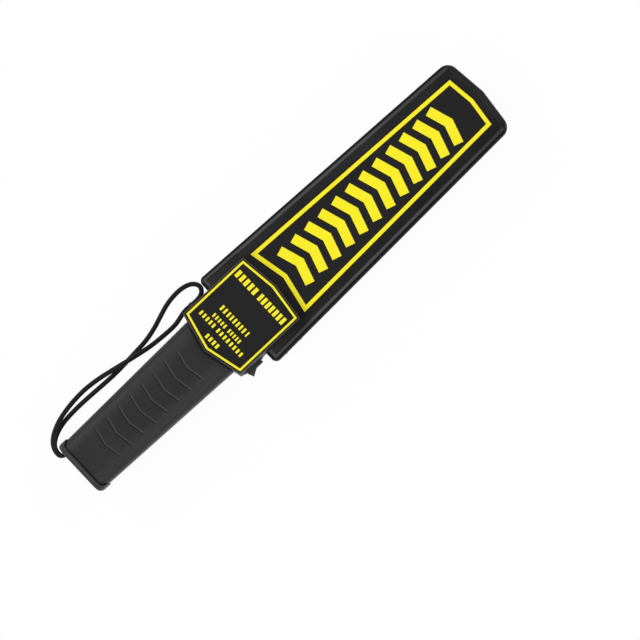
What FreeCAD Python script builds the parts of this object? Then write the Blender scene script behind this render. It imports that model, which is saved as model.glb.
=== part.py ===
import FreeCAD, Part
import math
import os

from FreeCAD import Vector

# Hand-held metal detector wand, in millimetres.
# Stations run along X from the end cap's face to the tip, Y is across, Z is through the thickness.
# While it is modelled, Z is 0 on the parting plane of the two housing shells.

# Housing as a whole
cap_length = 4.5
handle_length = 122.5
neck_sweep = 7.5
neck_length = 62.7
neck_top_sweep = 3.8
bare_neck_length = 25.3
paddle_length = 250.2
neck_thickness = 45.0
handle_thickness = 36.0
paddle_thickness = 24.0
wall = 2.2
seam_chamfer = 0.35
seat_gap = 0.1
slide_gap = 0.25
thread_gap = 0.05
overrun = 1.0

# Handle and its stepped grip
handle_width_at_cap = 43.8
handle_width_at_neck = 50.0
grip_radius = 8.6
handle_end_radius = 4.5
chevron_count = 8
chevron_pitch = 11.82
first_chevron = 26.6
chevron_reach = 14.2
chevron_sweep = 2.7
chevron_depth = 0.6
chevron_groove_width = 2.1
chevron_steep_share = 0.3

# Neck
neck_width = 64.0
neck_draft = 1.3
neck_edge_share = 0.33
neck_edge = 0.6
neck_corner_radius = 1.6

# Paddle
paddle_width = 84.7
paddle_tip_width = 68.6
paddle_tip_rise = 3.8
paddle_base_radius = 4.5
paddle_tip_radius = 9.0
paddle_apex_radius = 8.0
paddle_side_draft = 0.6
paddle_bevel_width = 3.2
paddle_bevel_height = 4.0
paddle_lip_width = 1.6
paddle_lip_height = 1.1
rim_width = 0.8
face_recess = 0.8
recess_slope_width = 1.4
paddle_rib_count = 4
rib_thickness = 1.6

# Printed labels, each a thin sheet in a shallow seat
label_thickness = 0.25
label_seat_depth = 0.3
label_side_gap = 0.12
paddle_label_margin = 11.1
paddle_label_offset = 3.2
paddle_label_notch = 6.1
paddle_label_tip_gap = 9.6
paddle_label_tip_rise = 2.8
neck_label_margin = 0.3
label_corner_radius = 0.8

# End cap with the battery behind it
cap_proud = 1.2
cap_cheek_length = 4.5
cap_edge = 3.0
cap_edge_steps = 4
cap_back_edge = 0.6
cap_wall = 3.4
spigot_length = 10.0
spigot_wall = 1.6
battery_length = 46.4
battery_width = 26.5
battery_height = 17.5
battery_corner_radius = 2.0
battery_gap = 0.3
battery_from_cap = 8.0
stud_spacing = 12.7
stud_radius = 2.9
stud_height = 2.6
snap_thickness = 3.2
snap_width = 25.0
snap_height = 12.5
cradle_rib_count = 3
cradle_rib_inset = 5.0
foam_width = 16.0
foam_height = 13.0
foam_offset = 2.5

# Wrist cord
cord_diameter = 3.8
cord_exit_inset = 6.6
cord_exit_spacing = 5.4
cord_hole_gap = 0.15
cord_end_station = 3.5
cord_exit_station = -3.6
cord_sides = 12
knot_length = 5.6
knot_width = 7.2
knot_height = 11.4
knot_edge = 1.6

# Power rocker on the lower side of the neck
rocker_from_corner = 12.1
rocker_bezel_length = 17.8
rocker_bezel_height = 10.6
rocker_bezel_thickness = 0.6
rocker_bezel_radius = 1.0
rocker_body_length = 16.6
rocker_body_height = 9.2
rocker_body_wall = 0.9
rocker_body_depth = 11.0
rocker_cell_depth = 6.0
rocker_gap = 0.3
rocker_tilt = 15.0
rocker_valley = 2.4
rocker_skirt = 1.2
rocker_end_lean = 0.6
rocker_pivot_depth = 0.4
rocker_trunnion_radius = 0.8
rocker_trunnion_gap = 0.05
land_margin = 1.0
terminal_width = 4.0
terminal_thickness = 0.6
terminal_length = 5.5
terminal_spacing = 7.0

# Sound or vibration slide switch and the earphone socket, on the upper side of the neck
slide_from_corner = 9.0
slide_knob_length = 3.4
slide_knob_height = 3.2
slide_knob_proud = 2.6
slide_travel = 2.0
slide_body_length = 11.0
slide_body_height = 5.0
slide_body_depth = 4.6
slide_groove_depth = 1.6
jack_from_slide = 12.4
jack_body_width = 8.6
jack_body_depth = 13.0
jack_body_height = 5.6
jack_nose_radius = 3.0
jack_nose_recess = 0.2
jack_bore_radius = 1.8
jack_bore_length = 14.0

# Circuit board and what stands on it
board_thickness = 1.6
board_start_gap = 6.0
board_end_gap = 2.4
board_side_gap = 3.4
board_inner_edge = 12.0
board_wing_gap = 3.6
boss_radius = 3.0
board_screw_radius = 1.2
board_screw_length = 6.5
board_screw_head_radius = 2.3
board_screw_head_height = 1.5
board_screw_slot_width = 0.5
board_screw_inset = 5.5
chip_length = 19.0
chip_width = 6.4
chip_height = 3.4
chip_leg_height = 0.8
chip_leg_width = 0.5
chip_leg_count = 7
capacitor_count = 3
capacitor_radius = 3.1
capacitor_height = 8.0
capacitor_pitch = 8.0
trimmer_length = 9.5
trimmer_width = 4.8
trimmer_height = 9.8
trimmer_screw_radius = 1.1
trimmer_screw_height = 0.9
trimmer_slot_width = 0.44
buzzer_radius = 6.0
buzzer_height = 7.5
buzzer_hole_radius = 1.2
buzzer_hole_depth = 2.0
led_radius = 1.5
led_proud = 0.45
led_flange_radius = 1.9
led_flange_thickness = 1.0
led_first_station = 11.1
led_spacing = 14.9
led_leg_thickness = 0.5
led_leg_spacing = 2.54

# Vibration motor in the grip, this far behind the middle of its bay because of its shaft
motor_shift = 2.0
motor_length = 18.0
motor_radius = 5.0
motor_drop = 8.0
motor_rib_inset = 3.0
motor_tab_spacing = 7.5
motor_lead_rise = 2.0
motor_nose_radius = 2.2
motor_nose_length = 1.2
motor_shaft_radius = 0.75
motor_shaft_length = 9.0
motor_shaft_bore = 4.0
weight_radius = 5.2
weight_length = 5.0
weight_hub_radius = 2.0
weight_bore_gap = 0.02
weight_nose_gap = 1.0
clamp_rib_width = 5.0

# Search coil in the paddle
former_start = 5.0
former_side_gap = 1.0
former_width = 9.0
former_thickness = 9.0
former_groove_depth = 4.0
former_groove_height = 5.0
coil_depth = 3.6
coil_height = 4.8
coil_sink = 0.2

# Case screws
screw_radius = 1.4
screw_length = 12.0
screw_head_radius = 2.8
screw_head_height = 2.0
screw_cross_length = 3.4
screw_cross_width = 0.56
screw_recess_radius = 3.2
screw_column_radius = 4.6
screw_seat = 4.0
neck_screw_offset = 6.4
first_paddle_screw = 35.0
last_paddle_screw = 34.0

# Lead wires
lead_diameter = 1.4
lead_side_gap = 1.05
lead_sides = 6
least_radius_share = 0.15
arc_reach_share = 0.45
least_turn = 0.001

# Stations and heights that follow from the sizes above
neck_start = cap_length + handle_length
neck_corner = neck_start + neck_sweep
neck_top_corner = neck_corner + neck_length
neck_end = neck_top_corner + neck_top_sweep
paddle_start = neck_corner + bare_neck_length
overall_length = paddle_start + paddle_length
neck_half = neck_thickness / 2
handle_half = handle_thickness / 2
paddle_half = paddle_thickness / 2
paddle_face = paddle_half - face_recess
board_top = -slide_body_height / 2
board_bottom = board_top - board_thickness
board_start = neck_corner + board_start_gap
board_end = neck_top_corner - board_end_gap
board_side = neck_width / 2 - wall - board_side_gap
wing_start = paddle_start + board_wing_gap
battery_start = cap_wall + battery_from_cap + seat_gap
battery_end = battery_start + battery_length
snap_start = battery_end + seat_gap
cord_exit_y = handle_width_at_cap / 2 - cord_exit_inset
motor_bay_start = snap_start + snap_thickness
motor_bay_end = neck_start + neck_screw_offset - screw_column_radius
motor_station = (motor_bay_start + motor_bay_end - motor_length) / 2 - motor_shift
screw_places = [
    (neck_start + neck_screw_offset, neck_half - wall),
    (neck_end + first_paddle_screw, paddle_face - wall),
    (overall_length - last_paddle_screw, paddle_face - wall),
]
board_screw_places = [
    (station, across)
    for station in (board_start + board_screw_inset, board_end - board_screw_inset)
    for across in (board_side - board_screw_inset, board_screw_inset - board_inner_edge)
]


def rounded_wire(points, radii, place):
    """A closed wire of lines and arcs through corners given as pairs, each with its own radius."""
    ends = []
    count = len(points)
    for i in range(count):
        before, corner, after = points[i - 1], points[i], points[(i + 1) % count]
        back = unit(before[0] - corner[0], before[1] - corner[1])
        on = unit(after[0] - corner[0], after[1] - corner[1])
        if radii[i] == 0:
            ends.append((corner, None, corner))
            continue
        half = math.acos(max(-1, min(1, back[0] * on[0] + back[1] * on[1]))) / 2
        reach = radii[i] / math.tan(half)
        middle = unit(back[0] + on[0], back[1] + on[1])
        depth = radii[i] / math.sin(half) - radii[i]
        ends.append((
            (corner[0] + back[0] * reach, corner[1] + back[1] * reach),
            (corner[0] + middle[0] * depth, corner[1] + middle[1] * depth),
            (corner[0] + on[0] * reach, corner[1] + on[1] * reach),
        ))
    edges = []
    for i in range(count):
        first, bend, last = ends[i]
        if bend is not None:
            edges.append(Part.Arc(place(*first), place(*bend), place(*last)).toShape())
        edges.append(Part.LineSegment(place(*last), place(*ends[(i + 1) % count][0])).toShape())
    return Part.Wire(edges)


def unit(a, b):
    size = math.hypot(a, b)
    return (a / size, b / size)


def inset(points, distance):
    """The corners of an anticlockwise outline with every side moved inwards by a distance."""
    moved = []
    count = len(points)
    for i in range(count):
        before, corner, after = points[i - 1], points[i], points[(i + 1) % count]
        a = unit(corner[0] - before[0], corner[1] - before[1])
        b = unit(after[0] - corner[0], after[1] - corner[1])
        turn = a[0] * b[1] - a[1] * b[0]
        along = distance * (1 - a[0] * b[0] - a[1] * b[1]) / turn
        moved.append((
            corner[0] - a[1] * distance - a[0] * along,
            corner[1] + a[0] * distance - a[1] * along,
        ))
    return moved


def shrunk(radii, distance):
    """Corner radii of an outline after its sides are moved inwards by a distance."""
    return [max(radius - distance, radius * least_radius_share) for radius in radii]


def in_plan(z):
    return lambda a, b: Vector(a, b, z)


def in_section(x):
    return lambda a, b: Vector(x, a, b)


def prism(points, radii, low, high):
    """A plan outline extruded from one height to another."""
    return Part.Face(rounded_wire(points, radii, in_plan(low))).extrude(Vector(0, 0, high - low))


def stack(points, radii, levels):
    """A solid through copies of a plan outline, each at a height and moved inwards by a distance."""
    wires = [
        rounded_wire(inset(points, distance), shrunk(radii, distance), in_plan(height))
        for height, distance in levels
    ]
    return Part.makeLoft(wires, True, True)


def box(x, y, z):
    """A block between two stations, two places across and two heights."""
    return Part.makeBox(x[1] - x[0], y[1] - y[0], z[1] - z[0], Vector(x[0], y[0], z[0]))


def rod(radius, start, end):
    """A cylinder from one point to another."""
    start = Vector(*start)
    way = Vector(*end) - start
    return Part.makeCylinder(radius, way.Length, start, way)


def flipped(shape):
    """The same shape on the other side of the parting plane."""
    return shape.mirror(Vector(0, 0, 0), Vector(0, 0, 1))


def ring_wire(radius, sides, start, way):
    """A regular polygon inside a circle that is square to a direction."""
    across = way.cross(Vector(0, 0, 1))
    if across.Length < way.Length * least_radius_share:
        across = way.cross(Vector(0, 1, 0))
    across.normalize()
    rise = across.cross(way)
    rise.normalize()
    turns = [2 * math.pi * (i + 1 / 2) / sides for i in range(sides)]
    corners = []
    for turn in turns:
        corners.append(start + across * (radius * math.cos(turn)) + rise * (radius * math.sin(turn)))
    return Part.makePolygon(corners + corners[:1])


def lead(points, radius, sides):
    """A tube along straight runs that tangent arcs join, with each bend's radius and the length."""
    points = [Vector(*point) for point in points]
    edges, bends = [], []
    here = points[0]
    for i in range(1, len(points) - 1):
        back, on = points[i - 1] - points[i], points[i + 1] - points[i]
        shorter = min(back.Length, on.Length)
        back.normalize()
        on.normalize()
        half_turn = (math.pi - back.getAngle(on)) / 2
        if half_turn < least_turn:
            continue
        reach = arc_reach_share * shorter
        bend = reach / math.tan(half_turn)
        middle = back + on
        middle.normalize()
        depth = bend / math.cos(half_turn) - bend
        first, last = points[i] + back * reach, points[i] + on * reach
        edges.append(Part.LineSegment(here, first).toShape())
        edges.append(Part.Arc(first, points[i] + middle * depth, last).toShape())
        bends.append(bend)
        here = last
    edges.append(Part.LineSegment(here, points[-1]).toShape())
    path = Part.Wire(edges)
    ring = ring_wire(radius, sides, points[0], points[1] - points[0])
    tube = path.makePipeShell([ring], True, False)
    return tube, bends, path.Length


# Housing outlines in plan

def neck_outline():
    return [
        (neck_start, 0),
        (neck_corner, -neck_width / 2),
        (neck_top_corner, -neck_width / 2),
        (neck_end, 0),
        (neck_top_corner, neck_width / 2),
        (neck_corner, neck_width / 2),
    ]


def neck_radii():
    return [neck_corner_radius] * len(neck_outline())


def paddle_half_width(station):
    """Half the paddle's width at a station, between its base and its tip corners."""
    taper_length = paddle_length - paddle_tip_rise
    along = (station - paddle_start) / taper_length
    return (paddle_width + (paddle_tip_width - paddle_width) * along) / 2


def paddle_outline(start):
    """The paddle's outline in plan from a station to the tip."""
    tip_corner = overall_length - paddle_tip_rise
    return [
        (start, -paddle_half_width(start)),
        (tip_corner, -paddle_tip_width / 2),
        (overall_length, 0),
        (tip_corner, paddle_tip_width / 2),
        (start, paddle_half_width(start)),
    ]


def paddle_radii():
    return [
        paddle_base_radius,
        paddle_tip_radius,
        paddle_apex_radius,
        paddle_tip_radius,
        paddle_base_radius,
    ]


def handle_half_width(station):
    along = (station - cap_length) / handle_length
    return (handle_width_at_cap + (handle_width_at_neck - handle_width_at_cap) * along) / 2


def handle_solid(start, end, distance, low):
    """One half of the handle between two stations, a tapered block with its two long edges rounded."""
    top = handle_half - distance
    wires = []
    for station in (start, end):
        half = handle_half_width(station) - distance
        points = [(-half + low, 0), (half - low, 0), (half, low), (half, top), (-half, top), (-half, low)]
        if low == 0:
            points = [(-half, 0), (half, 0), (half, top), (-half, top)]
        wires.append(rounded_wire(points, [0] * len(points), in_section(station)))
    block = Part.makeLoft(wires, True, True)
    edges = [edge for edge in block.Edges
             if edge.BoundBox.ZMin > top - wall and edge.BoundBox.XLength > (end - start) / 2]
    return block.makeFillet(grip_radius - distance, edges)


def full_section_solid(start, end, distance):
    """The handle's section at the cap, both halves together, as a straight bar."""
    half = handle_width_at_cap / 2 - distance
    top = handle_half - distance
    points = [(-half, -top), (half, -top), (half, top), (-half, top)]
    wire = rounded_wire(points, [grip_radius - distance] * len(points), in_section(start))
    return Part.Face(wire).extrude(Vector(end - start, 0, 0))


def handle_end_plan(distance):
    """The zone in plan that the handle's rounded end fills, grown outwards by a distance."""
    points = [
        (cap_length, -handle_width_at_cap / 2),
        (cap_length + handle_length, -handle_width_at_neck / 2),
        (cap_length + handle_length, handle_width_at_neck / 2),
        (cap_length, handle_width_at_cap / 2),
    ]
    radii = [handle_end_radius, 0, 0, handle_end_radius]
    grown = [radius + distance if radius else 0 for radius in radii]
    return prism(inset(points, -distance), grown, -neck_half, neck_half)


# Labels

def paddle_label_outline():
    start = neck_top_corner + paddle_label_offset
    tip = overall_length - paddle_label_tip_gap
    corner = tip - paddle_label_tip_rise
    near = paddle_half_width(start) - paddle_label_margin
    far = paddle_half_width(corner) - paddle_label_margin
    return [
        (start + paddle_label_notch, 0),
        (start, -near),
        (corner, -far),
        (tip, 0),
        (corner, far),
        (start, near),
    ]


def neck_label_outline():
    return inset(neck_outline(), neck_draft + neck_edge + neck_label_margin)


def label(points, face, grown, depth):
    """A sheet of a label's outline, grown outwards, from a depth below a face."""
    radii = [label_corner_radius] * len(points)
    bottom = face - label_seat_depth
    return prism(inset(points, -grown), radii, bottom, bottom + depth)


def paddle_label():
    return label(paddle_label_outline(), paddle_face, 0, label_thickness)


def neck_label():
    return label(neck_label_outline(), neck_half, 0, label_thickness)


# Housing

def grip_grooves():
    """Cutters of the grip's chevrons: each drops steeply and climbs back gently towards the neck."""
    cutters = []
    top = handle_half
    for i in range(chevron_count):
        start = first_chevron + chevron_pitch * i
        end = start + chevron_groove_width
        side = [
            (start, top),
            (start + chevron_groove_width * chevron_steep_share, top - chevron_depth),
            (end, top),
            (end, top + overrun),
            (start, top + overrun),
        ]
        profile = [Vector(x, 0, z) for x, z in side]
        face = Part.Face(Part.makePolygon(profile + profile[:1]))
        for way in (-1, 1):
            cutters.append(face.extrude(Vector(chevron_sweep, way * chevron_reach, 0)))
    return cutters


def outer_half():
    """The outside of one housing half: handle, neck and paddle above the parting plane."""
    end = box((cap_length - overrun, cap_length + handle_end_radius), (-neck_width / 2, neck_width / 2),
              (-overrun, neck_half))
    handle = handle_solid(cap_length, neck_corner, 0, seam_chamfer).cut(end.cut(handle_end_plan(0)))
    neck = stack(neck_outline(), neck_radii(), [
        (0, seam_chamfer),
        (seam_chamfer, 0),
        (neck_half - neck_edge, neck_draft),
        (neck_half - neck_edge * neck_edge_share, neck_draft + neck_edge * neck_edge_share),
        (neck_half, neck_draft + neck_edge),
    ])
    shoulder = paddle_half - paddle_bevel_height
    paddle = stack(paddle_outline(paddle_start), paddle_radii(), [
        (0, seam_chamfer),
        (seam_chamfer, 0),
        (shoulder, paddle_side_draft),
        (paddle_half - paddle_lip_height, paddle_bevel_width - paddle_lip_width),
        (paddle_half, paddle_bevel_width),
    ])
    field_inset = paddle_bevel_width + rim_width
    field = stack(paddle_outline(paddle_start), paddle_radii(), [
        (paddle_face, field_inset + recess_slope_width),
        (paddle_half, field_inset),
        (paddle_half + overrun, field_inset),
    ])
    return handle.cut(Part.makeCompound(grip_grooves())), neck, paddle.cut(field)


def inner_half():
    """The hollow inside one housing half."""
    handle = handle_solid(cap_length - overrun, neck_corner + overrun, wall, 0)
    top = neck_half - wall
    neck = stack(neck_outline(), [0] * len(neck_outline()), [(0, wall), (top, wall + neck_draft)])
    shoulder = paddle_half - paddle_bevel_height
    tip = [0, paddle_tip_radius, 0, paddle_tip_radius, 0]
    paddle = stack(paddle_outline(paddle_start), tip, [
        (0, wall),
        (shoulder, wall + paddle_side_draft),
        (paddle_face - wall, wall + paddle_bevel_width),
    ])
    return handle, neck, paddle


def cradle_ribs(hollow):
    """Ribs that hold the battery, and the stop behind its connector."""
    ribs = []
    step = (battery_length - 2 * cradle_rib_inset) / (cradle_rib_count - 1)
    first = battery_start + cradle_rib_inset
    room = box((battery_start, snap_start + snap_thickness + overrun),
               (-battery_width / 2 - battery_gap, battery_width / 2 + battery_gap),
               (-overrun, battery_height / 2 + battery_gap))
    for i in range(cradle_rib_count):
        station = first + step * i
        ribs.append(hollow_slab(hollow, station - rib_thickness / 2).cut(room))
    stop = hollow_slab(hollow, snap_start + snap_thickness + seat_gap)
    window = box((battery_end, motor_station), (-stud_spacing / 2, stud_spacing / 2),
                 (-overrun, battery_height / 2))
    ribs.append(stop.cut(window))
    return ribs


def hollow_slab(hollow, station):
    """A rib across a hollow, from wall to wall."""
    wide = max(paddle_width, neck_width, handle_width_at_neck)
    return hollow.common(box((station, station + rib_thickness), (-wide, wide), (0, neck_half)))


def coil_ribs(hollow):
    """Ribs across the paddle that carry the coil former."""
    first = neck_end + former_start + former_width
    last = overall_length - former_start - former_width
    step = (last - first) / paddle_rib_count
    ribs = []
    for i in range(paddle_rib_count):
        rib = hollow_slab(hollow, first + step * (i + 1 / 2))
        reach = former_thickness / 2 + seat_gap
        below = box((first, last), (-paddle_width, paddle_width), (-overrun, reach))
        ribs.append(rib.cut(below))
    return ribs


def side_openings():
    """Cutters for the rocker, the slide knob, the earphone socket and the two lamps."""
    cutters = []
    outer = neck_width / 2 + overrun
    station = neck_corner + rocker_from_corner
    length, height = rocker_body_length / 2 + seat_gap, rocker_body_height / 2 + seat_gap
    inner = neck_width / 2 - wall - neck_draft - overrun
    cutters.append(box((station - length, station + length), (-outer, -inner), (-height, height)))
    knob = slide_station()
    low = knob - slide_knob_length / 2 - slide_gap
    high = knob + slide_knob_length / 2 + slide_travel + slide_gap
    height = slide_knob_height / 2 + slide_gap
    cutters.append(box((low, high), (inner, outer), (-height, height)))
    socket = jack_station()
    cutters.append(rod(jack_nose_radius + seat_gap, (socket, inner, 0), (socket, outer, 0)))
    for place in led_stations():
        half = paddle_half_width(place)
        ends = [(place, -half - overrun, 0), (place, -half + wall + overrun, 0)]
        cutters.append(rod(led_radius + seat_gap, *ends))
    return cutters


def slide_station():
    return neck_corner + slide_from_corner


def jack_station():
    return slide_station() + jack_from_slide


def led_stations():
    return [paddle_start + led_first_station + led_spacing * i for i in range(2)]


def lands():
    """Flat lands on the neck's leaning sides, where the rocker sits and the slide knob comes out."""
    half = neck_width / 2
    inner = half - wall - land_margin
    rocker = neck_corner + rocker_from_corner
    reach = rocker_bezel_length / 2 + land_margin
    tall = rocker_bezel_height / 2 + land_margin
    blocks = [box((rocker - reach, rocker + reach), (-half, -inner), (0, tall))]
    knob = slide_station() + slide_travel / 2
    reach = slide_knob_length / 2 + slide_travel / 2 + slide_gap + land_margin
    tall = slide_knob_height / 2 + slide_gap + land_margin
    blocks.append(box((knob - reach, knob + reach), (half - wall, half), (0, tall)))
    socket = jack_station()
    blocks.append(rod(jack_nose_radius + land_margin, (socket, half - wall, 0), (socket, half, 0))
                  .common(box((socket - neck_width, socket + neck_width), (0, neck_width), (0, neck_width))))
    return blocks


def base_shell():
    """What both housing halves share, as the front one."""
    handle, neck, paddle = outer_half()
    shell = handle.fuse([neck, paddle])
    hollow_handle, hollow_neck, hollow_paddle = inner_half()
    hollow = hollow_handle.fuse([hollow_neck, hollow_paddle])
    shell = shell.cut(hollow).fuse(lands())
    ribs = cradle_ribs(hollow_handle) + coil_ribs(hollow_paddle)
    seats = [
        label(paddle_label_outline(), paddle_face, label_side_gap, label_seat_depth + overrun),
        label(neck_label_outline(), neck_half, label_side_gap, label_seat_depth + overrun),
    ]
    return shell.fuse(ribs).cut(Part.makeCompound(seats)), hollow


def front_shell(base):
    """The front half, with the bosses that the case screws bite into and the motor's clamp ribs."""
    shell = base.cut(Part.makeCompound(side_openings()))
    bosses, pilots = [], []
    for station, top in screw_places:
        bosses.append(rod(screw_column_radius, (station, 0, 0), (station, 0, top + label_seat_depth)))
        pilots.append(rod(screw_radius + thread_gap, (station, 0, -overrun),
                          (station, 0, screw_length - screw_seat + thread_gap)))
    for station in motor_rib_stations():
        bosses.append(box((station, station + rib_thickness), (-clamp_rib_width / 2, clamp_rib_width / 2),
                          (motor_radius + seat_gap - motor_drop, handle_half - wall + seat_gap)))
    return shell.fuse(bosses).cut(Part.makeCompound(pilots))


def back_shell(base, hollow):
    """The back half, with the screw columns, the board's bosses and the motor's cradle."""
    shell = flipped(base).cut(Part.makeCompound(side_openings()))
    columns, holes = [], []
    for station, depth in screw_places:
        columns.append(rod(screw_column_radius, (station, 0, 0), (station, 0, -depth)))
        holes.append(rod(screw_radius + slide_gap, (station, 0, -neck_half), (station, 0, overrun)))
        holes.append(rod(screw_recess_radius, (station, 0, -neck_half - overrun), (station, 0, -screw_seat)))
    for station, across in board_screw_places:
        floor = (station, across, wall - neck_half)
        columns.append(rod(boss_radius, floor, (station, across, board_bottom)))
        holes.append(rod(board_screw_radius + thread_gap, (station, across, board_bottom),
                         (station, across, board_bottom - board_screw_length)))
    for station in motor_rib_stations():
        rib = flipped(hollow_slab(hollow, station))
        rib = rib.cut(box((station, station + rib_thickness), (-neck_width, neck_width),
                          (-motor_drop, overrun)))
        columns.append(rib)
    holes.append(rod(motor_radius + seat_gap, (motor_station, 0, -motor_drop),
                     (motor_station + motor_length, 0, -motor_drop)))
    return shell.fuse(columns).cut(Part.makeCompound(holes))


def motor_rib_stations():
    end = motor_station + motor_length
    return [motor_station + motor_rib_inset, end - motor_rib_inset - rib_thickness]


# End cap

def end_cap():
    """The battery cover: a domed plate with two cheeks, a hollow spigot and the cord's holes."""
    half = handle_width_at_cap / 2 + cap_proud
    top = handle_half + cap_proud
    full = cap_length + cap_cheek_length
    corners = [(-half, -top), (half, -top), (half, top), (-half, top)]
    radii = [grip_radius + cap_proud] * len(corners)
    turns = [math.pi / 2 * i / cap_edge_steps for i in range(cap_edge_steps + 1)]
    levels = [(cap_edge * (1 - math.cos(turn)), cap_edge * (1 - math.sin(turn))) for turn in turns]
    levels += [(full - cap_back_edge, 0), (full, cap_back_edge)]
    wires = [rounded_wire(inset(corners, distance), shrunk(radii, distance), in_section(station))
             for station, distance in levels]
    plate = Part.makeLoft(wires, True, True).cut(handle_end_plan(slide_gap))
    spigot = full_section_solid(cap_wall, cap_length + spigot_length, wall + slide_gap)
    bore = full_section_solid(cap_wall, cap_length + spigot_length + overrun, wall + slide_gap + spigot_wall)
    cap = plate.fuse(spigot).cut(bore)
    holes = [rod(cord_diameter / 2 + cord_hole_gap, (-overrun, cord_exit_y, z), (full, cord_exit_y, z))
             for z in cord_heights()]
    return cap.cut(Part.makeCompound(holes))


def cord_heights():
    return [cord_exit_spacing / 2, -cord_exit_spacing / 2]


def cord_knot():
    """The knot that ties both ends of the cord behind the cap's plate, as one block with cut edges."""
    middle = cord_exit_y - (knot_width - cord_diameter) / 2
    start = cap_wall + seat_gap
    knot = box((start, start + knot_length), (middle - knot_width / 2, middle + knot_width / 2),
               (-knot_height / 2, knot_height / 2))
    return knot.makeChamfer(knot_edge, knot.Edges)


def foam_pad():
    start = cap_wall + seat_gap
    return box((start, battery_start - battery_gap),
               (-foam_offset - foam_width / 2, -foam_offset + foam_width / 2),
               (-foam_height / 2, foam_height / 2))


# Battery

def battery():
    half, top = battery_width / 2, battery_height / 2
    corners = [(-half, -top), (half, -top), (half, top), (-half, top)]
    wire = rounded_wire(corners, [battery_corner_radius] * len(corners), in_section(battery_start))
    can = Part.Face(wire).extrude(Vector(battery_length, 0, 0))
    studs = [rod(stud_radius, (battery_end, y, 0), (battery_end + stud_height, y, 0)) for y in stud_places()]
    return can.fuse(studs)


def stud_places():
    return [-stud_spacing / 2, stud_spacing / 2]


def battery_snap():
    plate = box((snap_start, snap_start + snap_thickness), (-snap_width / 2, snap_width / 2),
                (-snap_height / 2, snap_height / 2))
    sockets = [rod(stud_radius + seat_gap, (snap_start, y, 0), (battery_end + stud_height + seat_gap, y, 0))
               for y in stud_places()]
    return plate.cut(Part.makeCompound(sockets))


# Rocker switch

def inner_side(height):
    """How far out the neck's inner wall is at a height from the parting plane."""
    return neck_width / 2 - wall - neck_draft * height / (neck_half - wall)


def rocker_place():
    """The rocker's pivot: its station and its place across the wand."""
    return neck_corner + rocker_from_corner, -(neck_width / 2 + rocker_pivot_depth)


def rocker_frame():
    """The rocker's bezel and its body with the cell that the rocker moves in."""
    station, pivot = rocker_place()
    panel = -neck_width / 2
    length, height = rocker_bezel_length / 2, rocker_bezel_height / 2
    corners = [(station - length, -height), (station + length, -height),
               (station + length, height), (station - length, height)]
    bezel_wire = rounded_wire(corners, [rocker_bezel_radius] * len(corners),
                              lambda a, b: Vector(a, panel - rocker_bezel_thickness, b))
    bezel = Part.Face(bezel_wire).extrude(Vector(0, rocker_bezel_thickness, 0))
    length, height = rocker_body_length / 2, rocker_body_height / 2
    body = box((station - length, station + length), (panel, panel + rocker_body_depth), (-height, height))
    length, height = length - rocker_body_wall, height - rocker_body_wall
    cell = box((station - length, station + length),
               (panel - rocker_bezel_thickness - overrun, panel + rocker_cell_depth), (-height, height))
    reach = height + rocker_body_wall / 2
    ends = [(station, pivot, -reach), (station, pivot, reach)]
    hole = rod(rocker_trunnion_radius + rocker_trunnion_gap, *ends)
    return bezel.fuse(body).cut(cell).cut(hole)


def rocker_cap():
    """The dished rocker with its trunnions, tilted to its pressed end."""
    station, pivot = rocker_place()
    foot = rocker_body_length / 2 - rocker_body_wall - rocker_gap
    top = foot - rocker_end_lean
    rise = rocker_valley + top * math.tan(math.radians(rocker_tilt))
    side = [(-foot, -rocker_skirt), (foot, -rocker_skirt), (foot, 0), (top, rise),
            (0, rocker_valley), (-top, rise), (-foot, 0)]
    height = rocker_body_height / 2 - rocker_body_wall
    rocker_height = height - rocker_gap
    wire = rounded_wire([(-a, b) for a, b in reversed(side)], [0] * len(side),
                        lambda a, b: Vector(station + a, pivot - b, -rocker_height))
    body = Part.Face(wire).extrude(Vector(0, 0, 2 * rocker_height))
    reach = height + rocker_body_wall / 2 - rocker_trunnion_gap
    pin = rod(rocker_trunnion_radius, (station, pivot, -reach), (station, pivot, reach))
    rocker = body.fuse(pin)
    rocker.rotate(Vector(station, pivot, 0), Vector(0, 0, 1), rocker_tilt)
    return rocker


def rocker_terminals():
    station = neck_corner + rocker_from_corner
    start = -neck_width / 2 + rocker_body_depth
    return Part.makeCompound([
        box((station + place - terminal_thickness / 2, station + place + terminal_thickness / 2),
            (start, start + terminal_length), (-terminal_width / 2, terminal_width / 2))
        for place in (-terminal_spacing / 2, terminal_spacing / 2)
    ])


# Slide switch and earphone socket

def slide_body():
    """The slide switch's housing on the board's edge, with the groove that its knob runs in."""
    middle = slide_station() + slide_travel / 2
    face = inner_side(slide_body_height / 2) - seat_gap
    half = slide_body_length / 2
    body = box((middle - half, middle + half), (face - slide_body_depth, face), (board_top, -board_top))
    reach = slide_knob_length / 2 + slide_travel / 2 + slide_gap
    groove = box((middle - reach, middle + reach), (face - slide_groove_depth - slide_gap, face + overrun),
                 (-slide_knob_height / 2 - slide_gap, slide_knob_height / 2 + slide_gap))
    return body.cut(groove)


def slide_knob():
    station = slide_station()
    face = inner_side(slide_body_height / 2) - seat_gap
    tip = neck_width / 2 + slide_knob_proud
    half = slide_knob_length / 2
    knob = box((station - half, station + half), (face - slide_groove_depth, tip),
               (-slide_knob_height / 2, slide_knob_height / 2))
    edges = [edge for edge in knob.Edges
             if all(abs(vertex.Y - tip) < Part.Precision.confusion() for vertex in edge.Vertexes)]
    return knob.makeChamfer(slide_gap * 2, edges)


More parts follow.
